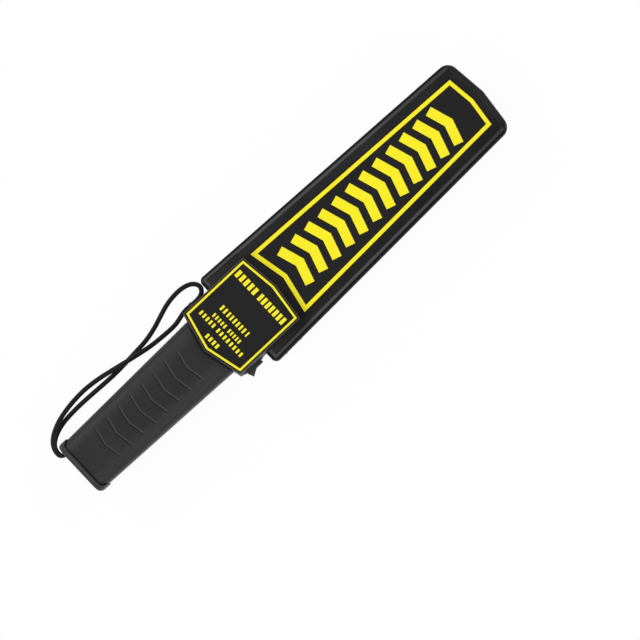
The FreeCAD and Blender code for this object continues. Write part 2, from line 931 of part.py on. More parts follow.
def earphone_jack():
    """The socket's body on the board and its nose in the neck's side."""
    station = jack_station()
    face = inner_side(jack_body_height / 2 + jack_body_height - slide_body_height) - seat_gap
    half = jack_body_width / 2
    body = box((station - half, station + half), (face - jack_body_depth, face),
               (board_top, board_top + jack_body_height))
    mouth = neck_width / 2 - jack_nose_recess
    nose = rod(jack_nose_radius, (station, face - seat_gap, 0), (station, mouth, 0))
    bore = rod(jack_bore_radius, (station, mouth - jack_bore_length, 0), (station, mouth + overrun, 0))
    return body.fuse(nose).cut(bore)


# Circuit board

def wing_reach():
    """How far across the board's wing goes, towards the lamps."""
    return paddle_half_width(board_end) - wall - board_side_gap


def circuit_board():
    outline = [
        (board_start, -board_inner_edge),
        (wing_start, -board_inner_edge),
        (wing_start, -wing_reach()),
        (board_end, -wing_reach()),
        (board_end, board_side),
        (board_start, board_side),
    ]
    board = prism(outline, [0] * len(outline), board_bottom, board_top)
    holes = [rod(board_screw_radius + slide_gap, (x, y, board_bottom - overrun), (x, y, board_top + overrun))
             for x, y in board_screw_places]
    return board.cut(Part.makeCompound(holes))


def board_screws():
    screws = []
    for x, y in board_screw_places:
        shank = rod(board_screw_radius, (x, y, board_top - board_screw_length), (x, y, board_top))
        head = rod(board_screw_head_radius, (x, y, board_top), (x, y, board_top + board_screw_head_height))
        slot = box((x - board_screw_head_radius, x + board_screw_head_radius),
                   (y - board_screw_slot_width / 2, y + board_screw_slot_width / 2),
                   (board_top + board_screw_head_height / 2, board_top + board_screw_head_height + overrun))
        screws.append(shank.fuse(head).cut(slot))
    return Part.makeCompound(screws)


def control_chip():
    """The chip's body over two rows of legs that stand on the board."""
    x = (board_start + board_end - chip_length) / 2
    y = -board_screw_head_radius
    base = board_top + chip_leg_height
    solids = [box((x, x + chip_length), (y, y + chip_width), (base, base + chip_height))]
    pitch = chip_length / chip_leg_count
    for i in range(chip_leg_count):
        leg = x + pitch * (i + 1 / 2) - chip_leg_width / 2
        for edge in (y - chip_leg_width, y + chip_width):
            solids.append(box((leg, leg + chip_leg_width), (edge, edge + chip_leg_width),
                              (board_top, base + chip_height / 2)))
    return solids[0].fuse(solids[1:])


def capacitors():
    first = neck_corner + rocker_from_corner + terminal_spacing / 2 + lead_diameter * 2 + capacitor_radius
    cans = []
    for i in range(capacitor_count):
        x = first + capacitor_pitch * i
        y = capacitor_radius - board_inner_edge + slide_gap
        cans.append(rod(capacitor_radius, (x, y, board_top), (x, y, board_top + capacitor_height)))
    return Part.makeCompound(cans)


def sensitivity_trimmer():
    x = board_end - board_screw_inset - trimmer_length / 2
    y = -board_inner_edge - board_screw_inset
    case = box((x, x + trimmer_length), (y - trimmer_width, y), (board_top, board_top + trimmer_height))
    top = board_top + trimmer_height
    middle = (x + trimmer_screw_radius * 2, y - trimmer_width / 2)
    head = rod(trimmer_screw_radius, (*middle, top), (*middle, top + trimmer_screw_height))
    slot = box((middle[0] - trimmer_screw_radius, middle[0] + trimmer_screw_radius),
               (middle[1] - trimmer_slot_width / 2, middle[1] + trimmer_slot_width / 2),
               (top + trimmer_screw_height / 2, top + trimmer_screw_height + overrun))
    return case.fuse(head.cut(slot))


def buzzer():
    x = board_end - board_screw_inset - board_screw_head_radius - buzzer_radius - overrun
    y = board_side - board_screw_inset - buzzer_radius / 2
    can = rod(buzzer_radius, (x, y, board_top), (x, y, board_top + buzzer_height))
    top = board_top + buzzer_height
    hole = rod(buzzer_hole_radius, (x, y, top - buzzer_hole_depth), (x, y, top + overrun))
    return can.cut(hole)


def lamp(station):
    """A domed lamp that looks out of the paddle's lower edge."""
    tip = -paddle_half_width(station) - led_proud
    flange = -paddle_half_width(station) + wall + paddle_side_draft
    body = rod(led_radius, (station, tip + led_radius, 0), (station, flange, 0))
    dome = Part.makeSphere(led_radius, Vector(station, tip + led_radius, 0))
    ring = rod(led_flange_radius, (station, flange, 0), (station, flange + led_flange_thickness, 0))
    return body.fuse([dome, ring])


def lamp_legs():
    """Bent legs from each lamp's flange down to the board."""
    legs = []
    for station in led_stations():
        flange = -paddle_half_width(station) + wall + paddle_side_draft + led_flange_thickness
        foot = -wing_reach() + led_flange_radius
        for way in (-1, 1):
            middle = station + way * led_leg_spacing / 2
            x = (middle - led_leg_thickness / 2, middle + led_leg_thickness / 2)
            reach = box(x, (flange, foot), (-led_leg_thickness / 2, led_leg_thickness / 2))
            drop = box(x, (foot - led_leg_thickness, foot), (board_top, led_leg_thickness / 2))
            legs.append(reach.fuse(drop))
    return Part.makeCompound(legs)


# Vibration motor

def vibration_motor():
    end = motor_station + motor_length
    can = rod(motor_radius, (motor_station, 0, -motor_drop), (end, 0, -motor_drop))
    nose = rod(motor_nose_radius, (end, 0, -motor_drop), (end + motor_nose_length, 0, -motor_drop))
    bore = rod(motor_shaft_radius + thread_gap, (end - motor_shaft_bore, 0, -motor_drop),
               (end + motor_nose_length, 0, -motor_drop))
    return can.fuse(nose).cut(bore)


def motor_shaft():
    start = motor_station + motor_length - motor_shaft_bore + thread_gap
    return rod(motor_shaft_radius, (start, 0, -motor_drop), (start + motor_shaft_length + motor_nose_length,
                                                            0, -motor_drop))


def motor_weight():
    """The half-round weight, hanging below the shaft."""
    start = motor_station + motor_length + motor_nose_length + weight_nose_gap
    disc = rod(weight_radius, (start, 0, -motor_drop), (start + weight_length, 0, -motor_drop))
    lower = box((start, start + weight_length), (-weight_radius, weight_radius),
                (-motor_drop - weight_radius, -motor_drop))
    hub = rod(weight_hub_radius, (start, 0, -motor_drop), (start + weight_length, 0, -motor_drop))
    bore = rod(motor_shaft_radius + weight_bore_gap, (start - overrun, 0, -motor_drop),
               (start + weight_length + overrun, 0, -motor_drop))
    return disc.common(lower).fuse(hub).cut(bore)


# Search coil

def former_outline():
    return inset(paddle_outline(neck_end + former_start), wall + former_side_gap)


def ring(outer, inner, half_height):
    """A flat ring between two insets of the former's outline."""
    radii = paddle_radii()
    outside = prism(inset(former_outline(), outer), shrunk(radii, outer + wall), -half_height, half_height)
    inside = prism(inset(former_outline(), inner), shrunk(radii, inner + wall),
                   -half_height - overrun, half_height + overrun)
    return outside.cut(inside)


def coil_former():
    body = ring(0, former_width, former_thickness / 2)
    groove = ring(-former_side_gap, former_groove_depth, former_groove_height / 2)
    return body.cut(groove)


def search_coil():
    start = former_groove_depth - coil_depth - coil_sink / 2
    return ring(start, start + coil_depth, coil_height / 2)


# Case screws

def case_screws():
    screws = []
    reach, half = screw_cross_length / 2, screw_cross_width / 2
    seat = -screw_seat
    for station, _ in screw_places:
        head = rod(screw_head_radius, (station, 0, seat - screw_head_height), (station, 0, seat))
        shank = rod(screw_radius, (station, 0, seat), (station, 0, seat + screw_length))
        depth = (seat - screw_head_height - overrun, seat - screw_head_height / 2)
        cross = [box((station - a, station + a), (-b, b), depth) for a, b in ((reach, half), (half, reach))]
        screws.append(head.fuse(shank).cut(Part.makeCompound(cross)))
    return Part.makeCompound(screws)


# Lead wires

def pair(points):
    """Two wires along one route, each point given as a station, half the wires' spacing and a height."""
    wires = []
    for way in (-1, 1):
        wires.append(lead([(x, way * apart, z) for x, apart, z in points], lead_diameter / 2, lead_sides)[0])
    return Part.makeCompound(wires)


def battery_leads():
    start = snap_start + snap_thickness
    apart = screw_column_radius + lead_side_gap
    rise = motor_radius
    end = board_start + lead_diameter
    return pair([
        (start, apart, 0),
        (start + rise, apart, 0),
        (start + rise + rise * 2, apart, rise),
        (board_start - rise * 2, apart, rise),
        (end, apart, rise / 2),
        (end, apart, board_top),
    ])


def motor_leads():
    near = motor_tab_spacing / 2
    far = screw_column_radius + lead_diameter * 2
    rise = motor_lead_rise
    end = board_start + lead_diameter
    return pair([
        (motor_station, near, -motor_drop),
        (motor_station - rise, near, -motor_drop),
        (motor_station - rise, (near + far) / 2, -motor_drop / 2),
        (motor_station + rise, far, 0),
        (board_start - rise * 2, far, rise),
        (end, far, rise / 2),
        (end, far, board_top),
    ])


def rocker_leads():
    station = neck_corner + rocker_from_corner
    start = -neck_width / 2 + rocker_body_depth + terminal_length
    wires = []
    for way in (-1, 1):
        x = station + way * terminal_spacing / 2
        end = x + lead_diameter
        wires.append(lead([
            (x, start, 0),
            (x, start + lead_diameter, 0),
            (end, -board_inner_edge + lead_side_gap, lead_diameter),
            (end, -board_inner_edge + lead_side_gap * 2, 0),
            (end, -board_inner_edge + lead_side_gap * 2, board_top),
        ], lead_diameter / 2, lead_sides)[0])
    return Part.makeCompound(wires)


def coil_leads():
    former = neck_end + former_start + wall + former_side_gap
    start = board_end - lead_side_gap * 2
    apart = lead_diameter
    rise = lead_diameter * 2
    return pair([
        (start, apart, board_top),
        (start, apart, board_top + rise),
        (start + rise, apart, board_top + rise + lead_diameter),
        (former - rise, apart, 0),
        (former, apart, 0),
    ])


# Wrist cord: out of the cap, down to the table, round its loop beside the neck and back.
# Heights here are above the surface that the wand lies on.
cord_route = [
    (-4.4, 23.2, 23.6),
    (-1.0, 29.4, 19.8),
    (5.4, 34.0, 14.6),
    (14.6, 38.7, 8.0),
    (27.0, 41.4, 2.6),
    (41.0, 42.3, 1.9),
    (55.0, 41.0, 1.9),
    (70.0, 37.9, 6.5),
    (87.5, 34.3, 6.5),
    (100.0, 32.1, 1.9),
    (113.0, 31.4, 1.9),
    (125.0, 31.2, 1.9),
    (136.0, 34.2, 1.9),
    (144.0, 33.8, 1.9),
    (151.0, 33.8, 1.9),
    (156.0, 35.8, 1.9),
    (158.0, 40.6, 1.9),
    (154.6, 45.2, 1.9),
    (148.0, 47.7, 1.9),
    (140.0, 48.1, 1.9),
    (130.0, 46.6, 1.9),
    (120.0, 43.2, 1.9),
    (110.0, 39.8, 1.9),
    (99.0, 37.4, 1.9),
    (88.0, 36.2, 1.9),
    (76.5, 35.6, 1.9),
    (64.0, 35.4, 1.9),
    (50.0, 35.9, 1.9),
    (36.5, 36.3, 1.9),
    (24.5, 36.2, 2.1),
    (13.4, 35.1, 4.6),
    (4.8, 32.2, 9.4),
    (-1.2, 28.0, 14.0),
    (-4.1, 22.7, 18.1),
]


def wrist_cord():
    upper = [(x, cord_exit_y, cord_exit_spacing / 2) for x in (cord_end_station, cord_exit_station)]
    lower = [(x, y, -z) for x, y, z in reversed(upper)]
    points = upper + [(x, y, z - neck_half) for x, y, z in cord_route] + lower
    tube, bends, length = lead(points, cord_diameter / 2, cord_sides)
    section = cord_sides / 2 * (cord_diameter / 2) ** 2 * math.sin(2 * math.pi / cord_sides)
    volume = section * length
    print("cord: length %.1f, volume / (section x length) %.4f" % (length, tube.Volume / volume))
    print("cord bends:", " ".join("%.1f" % bend for bend in bends))
    return tube


def save(name, shape):
    """Moves a piece to the wand's own frame and writes it."""
    shape = shape.copy()
    shape.translate(Vector(-overall_length / 2, 0, neck_half))
    shape.exportStep(os.path.join("parts", name + ".step"))
    solids = shape.Solids
    print("%-22s solids %d, volume %.1f, valid %s" % (name, len(solids), shape.Volume, shape.isValid()))


def main():
    os.makedirs("parts", exist_ok=True)
    base, hollow = base_shell()
    neck_back_label = flipped(neck_label())
    station = screw_places[0][0]
    neck_back_label = neck_back_label.cut(
        rod(screw_recess_radius + label_side_gap, (station, 0, -neck_half - overrun), (station, 0, 0)))
    lamps = [lamp(station) for station in led_stations()]
    pieces = {
        "front_shell": front_shell(base),
        "back_shell": back_shell(base, hollow),
        "end_cap": end_cap(),
        "cord_knot": cord_knot(),
        "wrist_cord": wrist_cord(),
        "foam_pad": foam_pad(),
        "front_paddle_label": paddle_label(),
        "back_paddle_label": flipped(paddle_label()),
        "front_neck_label": neck_label(),
        "back_neck_label": neck_back_label,
        "rocker_frame": rocker_frame(),
        "rocker_cap": rocker_cap(),
        "rocker_terminals": rocker_terminals(),
        "slide_switch_body": slide_body(),
        "slide_switch_knob": slide_knob(),
        "earphone_jack": earphone_jack(),
        "alarm_lamp": lamps[1],
        "power_lamp": lamps[0],
        "lamp_legs": lamp_legs(),
        "circuit_board": circuit_board(),
        "board_screws": board_screws(),
        "control_chip": control_chip(),
        "capacitors": capacitors(),
        "sensitivity_trimmer": sensitivity_trimmer(),
        "buzzer": buzzer(),
        "battery": battery(),
        "battery_snap": battery_snap(),
        "battery_leads": battery_leads(),
        "vibration_motor": vibration_motor(),
        "motor_shaft": motor_shaft(),
        "motor_weight": motor_weight(),
        "motor_leads": motor_leads(),
        "rocker_leads": rocker_leads(),
        "coil_former": coil_former(),
        "search_coil": search_coil(),
        "coil_leads": coil_leads(),
        "case_screws": case_screws(),
    }
    for name, shape in pieces.items():
        save(name, shape)


main()
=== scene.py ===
import math

import bpy
import numpy as np
from mathutils import Matrix, Vector


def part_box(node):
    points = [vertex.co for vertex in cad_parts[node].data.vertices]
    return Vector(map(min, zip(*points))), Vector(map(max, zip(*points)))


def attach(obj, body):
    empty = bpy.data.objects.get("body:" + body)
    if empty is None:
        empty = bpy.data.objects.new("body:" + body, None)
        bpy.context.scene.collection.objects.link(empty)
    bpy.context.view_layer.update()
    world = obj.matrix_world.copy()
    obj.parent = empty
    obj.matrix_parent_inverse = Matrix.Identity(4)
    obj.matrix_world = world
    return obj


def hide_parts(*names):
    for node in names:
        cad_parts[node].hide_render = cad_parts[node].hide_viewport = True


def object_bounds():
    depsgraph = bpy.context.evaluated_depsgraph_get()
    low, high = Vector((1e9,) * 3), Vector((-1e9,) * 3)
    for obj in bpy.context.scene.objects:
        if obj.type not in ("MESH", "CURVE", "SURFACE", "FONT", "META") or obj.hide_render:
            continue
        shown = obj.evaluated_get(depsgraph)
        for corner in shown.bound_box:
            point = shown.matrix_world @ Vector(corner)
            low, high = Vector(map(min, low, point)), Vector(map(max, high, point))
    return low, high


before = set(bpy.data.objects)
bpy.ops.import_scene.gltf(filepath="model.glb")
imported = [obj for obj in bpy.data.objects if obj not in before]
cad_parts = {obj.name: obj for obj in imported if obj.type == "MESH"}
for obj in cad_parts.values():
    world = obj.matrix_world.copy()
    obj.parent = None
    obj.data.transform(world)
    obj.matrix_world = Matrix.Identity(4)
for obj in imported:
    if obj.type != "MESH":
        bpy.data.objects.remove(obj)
cadLow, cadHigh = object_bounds()
mm = 0.001
midLength = 205 * mm  # stations are counted from the end cap, the frame's origin is at mid length
midHeight = 22.5 * mm
scene = bpy.context.scene
print("frame loaded,", len(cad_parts), "nodes")


# Camera: straight above the wand, a little to its rocker side

camera = dict(
    axisAngle=math.radians(43.2),  # the wand climbs to the upper right of the picture
    pixelsPerMetre=1349.0,
    centrePixel=(281.5, 280.5),  # where the wand's middle falls
    pictureSize=640,
    distance=2.6,
    leanDegrees=2.0,
)


def makeCamera():
    c = camera
    turn = c["axisAngle"]
    right = Vector((math.cos(turn), -math.sin(turn), 0))
    up = Vector((math.sin(turn), math.cos(turn), 0))
    half = c["pictureSize"] / 2
    aside = (half - c["centrePixel"][0]) / c["pixelsPerMetre"]
    below = (half - c["centrePixel"][1]) / c["pixelsPerMetre"]
    middle = (cadLow + cadHigh) / 2
    target = Vector((0, 0, middle.z)) + right * aside - up * below
    lean = math.radians(c["leanDegrees"])
    back = Vector((0, -math.sin(lean), math.cos(lean)))
    side = (right - back * right.dot(back)).normalized()
    rise = back.cross(side)
    data = bpy.data.cameras.new("camera")
    data.type = "PERSP"
    data.lens = data.sensor_width * c["distance"] * c["pixelsPerMetre"] / c["pictureSize"]
    data.clip_start, data.clip_end = 0.05, 50
    seen = bpy.data.objects.new("camera", data)
    place = target + back * c["distance"]
    seen.matrix_world = Matrix((
        (side.x, rise.x, back.x, place.x),
        (side.y, rise.y, back.y, place.y),
        (side.z, rise.z, back.z, place.z),
        (0, 0, 0, 1),
    ))
    scene.collection.objects.link(seen)
    scene.camera = seen


makeCamera()
scene.view_settings.view_transform = "Standard"
print("camera made")


# Shader maths: a Wire wraps a socket, and sums and products of Wires add their Math nodes

class Wire:
    def __init__(self, paint, socket):
        self.paint, self.socket = paint, socket

    def maths(self, operation, *others):
        return self.paint.add("ShaderNodeMath", dict(operation=operation), self, *others)

    def __add__(self, other):
        return self.maths("ADD", other)

    def __mul__(self, other):
        return self.maths("MULTIPLY", other)

    def __sub__(self, other):
        return self.maths("SUBTRACT", other)

    def __rsub__(self, other):
        return self.paint.add("ShaderNodeMath", dict(operation="SUBTRACT"), other, self)

    def __truediv__(self, other):
        return self.maths("DIVIDE", other)

    def __gt__(self, other):
        return self.maths("GREATER_THAN", other)

    def __lt__(self, other):
        return self.maths("LESS_THAN", other)

    __radd__, __rmul__ = __add__, __mul__

    def fract(self):
        return self.maths("FRACT")

    def sine(self):
        return self.maths("SINE")

    def size(self):
        return self.maths("ABSOLUTE")

    def most(self, other):
        return self.maths("MAXIMUM", other)

    def least(self, other):
        return self.maths("MINIMUM", other)


class Paint:
    # A material with one method that adds any node, and short forms of the ones used most. Scales of
    # noises and cells are per metre.
    def __init__(self, name, **constants):
        self.material = bpy.data.materials.new(name)
        self.material.use_nodes = True
        self.tree = self.material.node_tree
        self.shader = self.tree.nodes["Principled BSDF"]
        for socket, value in constants.items():
            self.shader.inputs[socket.replace("_", " ")].default_value = value

    def add(self, kind, settings, *values, out=0, **named):
        node = self.tree.nodes.new(kind)
        for key, value in settings.items():
            setattr(node, key, value)
        links = list(enumerate(values)) + [(key.replace("_", " "), value) for key, value in named.items()]
        for key, value in links:
            self.join(value, node.inputs[key])
        return Wire(self, node.outputs[out])

    def join(self, value, socket):
        if isinstance(value, Wire):
            self.tree.links.new(value.socket, socket)
        elif value is not None:
            socket.default_value = value

    def feed(self, **sockets):
        for key, value in sockets.items():
            self.join(value, self.shader.inputs[key.replace("_", " ")])

    def place(self):
        return self.add("ShaderNodeTexCoord", {}, out="Object")

    def uv(self):
        return self.add("ShaderNodeTexCoord", {}, out="UV")

    def parts(self, vector):
        first = self.add("ShaderNodeSeparateXYZ", {}, vector)
        return [Wire(self, socket) for socket in first.socket.node.outputs]

    def stretched(self, scale):
        return self.add("ShaderNodeMapping", {}, self.place(), Scale=scale)

    def noise(self, scale, detail=2.0, vector=None, roughness=0.5):
        return self.add("ShaderNodeTexNoise", {}, Vector=vector or self.place(), Scale=scale, Detail=detail,
                        Roughness=roughness)

    def cells(self, scale):
        return self.add("ShaderNodeTexVoronoi", {}, Vector=self.place(), Scale=scale)

    def spread(self, value, low, high, toLow=0.0, toHigh=1.0):
        return self.add("ShaderNodeMapRange", {}, value, low, high, toLow, toHigh)

    def vary(self, noise, low, high):
        return self.spread(noise, 0.3, 0.7, low, high)  # most of a noise lies between 0.3 and 0.7

    def mix(self, factor, first, second):
        others = [None] * 5  # the node's sockets for numbers and vectors come before the colours
        return self.add("ShaderNodeMix", dict(data_type="RGBA"), factor, *others, first, second, out=2)

    def bump(self, height, distance, strength):
        return self.add("ShaderNodeBump", {}, Height=height, Distance=distance, Strength=strength)


def rgb(red, green, blue):
    return (red, green, blue, 1)


def shaded(colour, factor, lift=0.0):
    # the colour times a factor plus a lift, at most white
    return rgb(*[min(1, part * factor + lift) for part in colour])


print("shader tools ready")


# Finishes

def mouldedPlastic(name, colour, roughness, grain=0.45 * mm, grainDepth=0.01 * mm, scuffs=0.25):
    # a spark-eroded grain, a few faint scuffs along the piece and a slow change of gloss
    paint = Paint(name, IOR=1.35, Specular_IOR_Level=0.3)
    patches = paint.noise(22, 3)
    grit = paint.cells(1 / grain)
    fine = paint.noise(2.6 / grain, 2)
    streaks = paint.noise(60, 4, paint.stretched((0.35, 5, 5)), 0.6)
    scuff = paint.spread(streaks, 0.62, 0.74) * scuffs
    base = paint.mix(paint.spread(patches, 0.35, 0.65), shaded(colour, 0.82), rgb(*colour))
    base = paint.mix(scuff * 0.5, base, shaded(colour, 1.9, 0.01))
    paint.feed(
        Base_Color=base,
        Roughness=paint.vary(patches, roughness - 0.05, roughness + 0.06) - scuff * 0.18,
        Normal=paint.bump(grit * 0.7 + fine * 0.3, grainDepth, 0.9),
    )
    return paint.material


# Where the housing is handled and worn, and where highlights and shade are painted on it, from its own
# sizes, and how much of that shows
wear = dict(
    handledEnd=(10 * mm, -38 * mm),  # along the wand: not handled, and handled
    gripStart=(-66 * mm, -74 * mm),  # along the wand: no grip yet, and grip
    gripMiddle=(6 * mm, 20 * mm),  # across the wand: smoothest, with full painted shade, and no longer smooth or shaded
    gripFlank=(10 * mm, 15 * mm),  # across the wand: no painted highlight yet, and full painted highlight
    strapEdge=(18 * mm, 20.5 * mm),  # across the wand on the strap side: painted highlight still full, and none
    paddleBase=-45.2 * mm,
    paddleHalf=42.35 * mm,
    paddleLean=0.03267,  # the sides come in by this much for each metre on
    tip=205 * mm,
    tipSweep=0.111,  # the tip falls back by this much for each metre aside
    crestInset=3.75 * mm,  # from the paddle's outline
    crestHalf=(0.4 * mm, 1.4 * mm),  # to either side of it: full painted highlight, and none
    crestHeight=10.2 * mm,  # from mid thickness
    crestTipGap=5 * mm,
    crestFade=(150 * mm, 245 * mm),  # from the paddle's base, where the crest's painted highlight fades
    crestEnd=0.5,  # what is left of it there
    tipNarrower=1.1 * mm,  # by this much the painted shade on the tip's outer side is narrower than on the others
    wallInset=(1.9 * mm, 2.9 * mm),  # from the outline, the wall's painted shade: full, and none
    wallFade=(5 * mm, 9 * mm),  # heights between which the outer side gets its full painted shade
    wallLow=0.4,  # its share of that below them
    marginShade=(-22 * mm, -30 * mm),  # across the wand, towards the rocker's side
    grooveStart=26.6 * mm - midLength,
    groovePitch=11.82 * mm,
    grooveCount=8,
    grooveLean=0.19,
    grooveReach=14.2 * mm,
    grooveShade=0.75 * mm,
    grooveLip=1.9 * mm,
    capFace=4.5 * mm - midLength,
    capSeamShade=1.1 * mm,
    capCorner=(17.4 * mm, 9 * mm),  # where the grip's end starts to round, and twice the radius
    neckFoot=127 * mm - midLength,
    footLean=0.2344,
    footShadow=(-1.05 * mm, 0.9 * mm),  # painted contact shadow: behind and in front of the neck's outline
    gripHeight=18.3 * mm,
    gripHalf=25.2 * mm,
    neckTop=19 * mm,  # from mid thickness, as the grip's height; above it the neck gets a painted highlight
    neckHalf=32.2 * mm,
    neckReach=45 * mm,  # from the paddle's base to where the neck has ended
    # factors on the colour, how much of each mask shows, changes of the roughness, and the grain
    tones=dict(margin=0.4, middle=0.86, flank=1.4, patch=1.3, paintedShade=0.3),
    shares=dict(patch=0.4, wall=0.8, neckTop=0.45, lip=0.3, groove=0.55, seam=0.85, crest=0.55,
                crestPatch=0.5),
    dullness=dict(patch=0.07, middle=-0.05, crest=-0.06, wall=0.5),
    grain=dict(cells=2300, noise=5200, depth=0.012 * mm, strength=0.9, middle=-0.25),
)


def rimMasks(paint, along, aside, height):
    # The crest, which gets a painted highlight, lies a fixed way in from the paddle's outline: from its two
    # sides, which lean in towards the tip, and from its base. It ends before the blunt tip, and its painted
    # highlight fades towards it. The wall is the strip outside of the crest, dull and with painted shade.
    w = wear
    station = along - w["paddleBase"]
    fromSide = w["paddleHalf"] - station * w["paddleLean"] - aside
    fromTip = w["tip"] - aside * w["tipSweep"] - along
    inset = fromSide.least(station)
    offNeck = (aside > w["neckHalf"]).most(station > w["neckReach"])
    fromCrest = (inset - w["crestInset"]).size()
    # the crest's painted highlight
    crest = paint.spread(fromCrest, *w["crestHalf"], 1, 0) * (height > w["crestHeight"]) * offNeck
    crest = crest * (fromTip > w["crestTipGap"]) * paint.spread(station, *w["crestFade"], 1, w["crestEnd"])
    # the wall's painted shade
    wall = paint.spread(inset.least(fromTip + w["tipNarrower"]), *w["wallInset"], 1, 0) * offNeck
    return crest, wall * paint.spread(height, *w["wallFade"], w["wallLow"], 1)


def grooveMasks(along, aside):
    # The grooves are a pattern of chevrons: painted shade fills the first part of each pitch, and a
    # painted highlight on the lip comes next.
    w = wear
    chevron = (along - w["grooveStart"] - aside * w["grooveLean"]) / w["groovePitch"]
    inside = (chevron > 0) * (chevron < w["grooveCount"]) * (aside < w["grooveReach"])
    groove = inside * (chevron.fract() < w["grooveShade"] / w["groovePitch"])
    lip = inside * (chevron.fract() < w["grooveLip"] / w["groovePitch"]) - groove
    return groove, lip


def seamMask(along, aside, height):
    # painted shade along the cap's seam, which rounds away at its corners, and a painted contact shadow
    # at the neck's foot
    w = wear
    bend = (aside - w["capCorner"][0]).most(0)
    capSeam = (along - w["capFace"] - bend * bend / w["capCorner"][1]) < w["capSeamShade"]
    beforeNeck = w["neckFoot"] + aside * w["footLean"] - along
    foot = (beforeNeck > w["footShadow"][0]) * (beforeNeck < w["footShadow"][1])
    return foot * (height < w["gripHeight"]) * (aside < w["gripHalf"]) + capSeam


def housingPlastic(name, colour, worn, paintedHighlight, roughness):
    # The grip and the neck are worn a little lighter than the paddle, and the grip's middle is smoothest.
    # Painted highlights lie on the grip's flanks, most of all on the rocker's side, on the crest of the
    # paddle's rim, on the neck's top edge and on the grooves' lips. Painted shade lies on the grip's
    # middle, in the grip's grooves, along the cap's seam, on the paddle's walls and on its margin towards
    # the rocker's side, and a painted contact shadow at the neck's foot.
    w = wear
    tones, shares, dullness, grain = w["tones"], w["shares"], w["dullness"], w["grain"]
    paint = Paint(name, IOR=1.35, Specular_IOR_Level=0.3)
    along, across, up = paint.parts(paint.place())
    aside = across.size()
    height = (up - midHeight).size()
    # the crest's painted highlight and the walls' painted shade
    crest, wall = rimMasks(paint, along, aside, height)
    # painted shade in the grooves and a painted highlight on their lips
    groove, lip = grooveMasks(along, aside)
    # painted shade along the cap's seam and a painted contact shadow at the neck's foot
    seam = seamMask(along, aside, height)
    handled = paint.spread(along, *w["handledEnd"])
    grip = paint.spread(along, *w["gripStart"])
    # the grip's smoother middle, which also gets painted shade
    middle = paint.spread(aside, *w["gripMiddle"], 1, 0) * grip
    # the grip's flanks, which get a painted highlight, mostly on the rocker's side
    flank = paint.spread(aside, *w["gripFlank"]) * paint.spread(across, *w["strapEdge"], 1, 0) * grip
    # the paddle's margin towards the rocker's side, which gets painted shade
    margin = paint.spread(across, *w["marginShade"]) * (1 - handled)
    patches = paint.noise(30, 3)
    grit = paint.cells(grain["cells"])
    fine = paint.noise(grain["noise"], 2)
    base = rgb(*colour)
    for mask, tone in (
        (handled, rgb(*worn)),
        # painted shade on the paddle's margin towards the rocker's side
        (margin, shaded(colour, tones["margin"])),
        # painted shade on the grip's smooth middle
        (middle, shaded(worn, tones["middle"])),
        # painted highlight on the grip's flanks, mostly on the rocker's side
        (flank, shaded(worn, tones["flank"])),
        (paint.spread(patches, 0.4, 0.75) * shares["patch"], shaded(worn, tones["patch"])),
        # painted shade on the paddle's walls
        (wall * shares["wall"], shaded(colour, tones["paintedShade"])),
        # painted highlight on the neck's top edge
        ((height > w["neckTop"]) * shares["neckTop"], rgb(*paintedHighlight)),
        # painted highlight on the grooves' lips
        (lip * shares["lip"], rgb(*paintedHighlight)),
        # painted shade in the grooves and along the cap's seam, and a painted contact shadow at the neck's
        # foot
        ((groove * shares["groove"]).most(seam * shares["seam"]), shaded(colour, tones["paintedShade"])),
        # painted highlight on the rim's crest
        (crest * (shares["crest"] + patches * shares["crestPatch"]), rgb(*paintedHighlight)),
    ):
        base = paint.mix(mask, base, tone)
    dull = paint.vary(patches, roughness, roughness + dullness["patch"]) + middle * dullness["middle"]
    strength = grain["strength"] + middle * grain["middle"]
    paint.feed(
        Base_Color=base,
        Roughness=dull + crest * dullness["crest"] + wall * dullness["wall"],
        Normal=paint.bump(grit * 0.7 + fine * 0.3, grain["depth"], strength),
    )
    return paint.material


def printedSheet(name, colour):
    # a satin polyester sheet with a faint orange peel and hairline rubs
    paint = Paint(name, IOR=1.35, Specular_IOR_Level=0.3)
    peel = paint.noise(900, 2)
    rubs = paint.noise(45, 4, paint.stretched((1, 9, 9)), 0.65)
    rub = paint.spread(rubs, 0.6, 0.75)
    tone = paint.noise(14, 2)
    paint.feed(
        Base_Color=paint.mix(rub * 0.35, rgb(*colour), shaded(colour, 1.5, 0.004)),
        Roughness=paint.vary(tone, 0.4, 0.5) - rub * 0.08,
        Normal=paint.bump(peel, 0.006 * mm, 0.8),
    )
    return paint.material


def screenInk(name, colour, shade, thread=0.28 * mm):
    # screen-printed ink, slightly uneven, with a fine mesh texture
    paint = Paint(name, IOR=1.35, Specular_IOR_Level=0.2)
    along, across, _ = paint.parts(paint.place())
    weave = (along * 2 * math.pi / thread).sine() * (across * 2 * math.pi / thread).sine()
    patches = paint.noise(260, 3)
    paint.feed(
        Base_Color=paint.mix(paint.spread(patches, 0.4, 0.75) * 0.5, rgb(*colour), rgb(*shade)),
        Roughness=paint.vary(patches, 0.42, 0.52),
        Normal=paint.bump(weave, 0.004 * mm, 0.6),
    )
    return paint.material


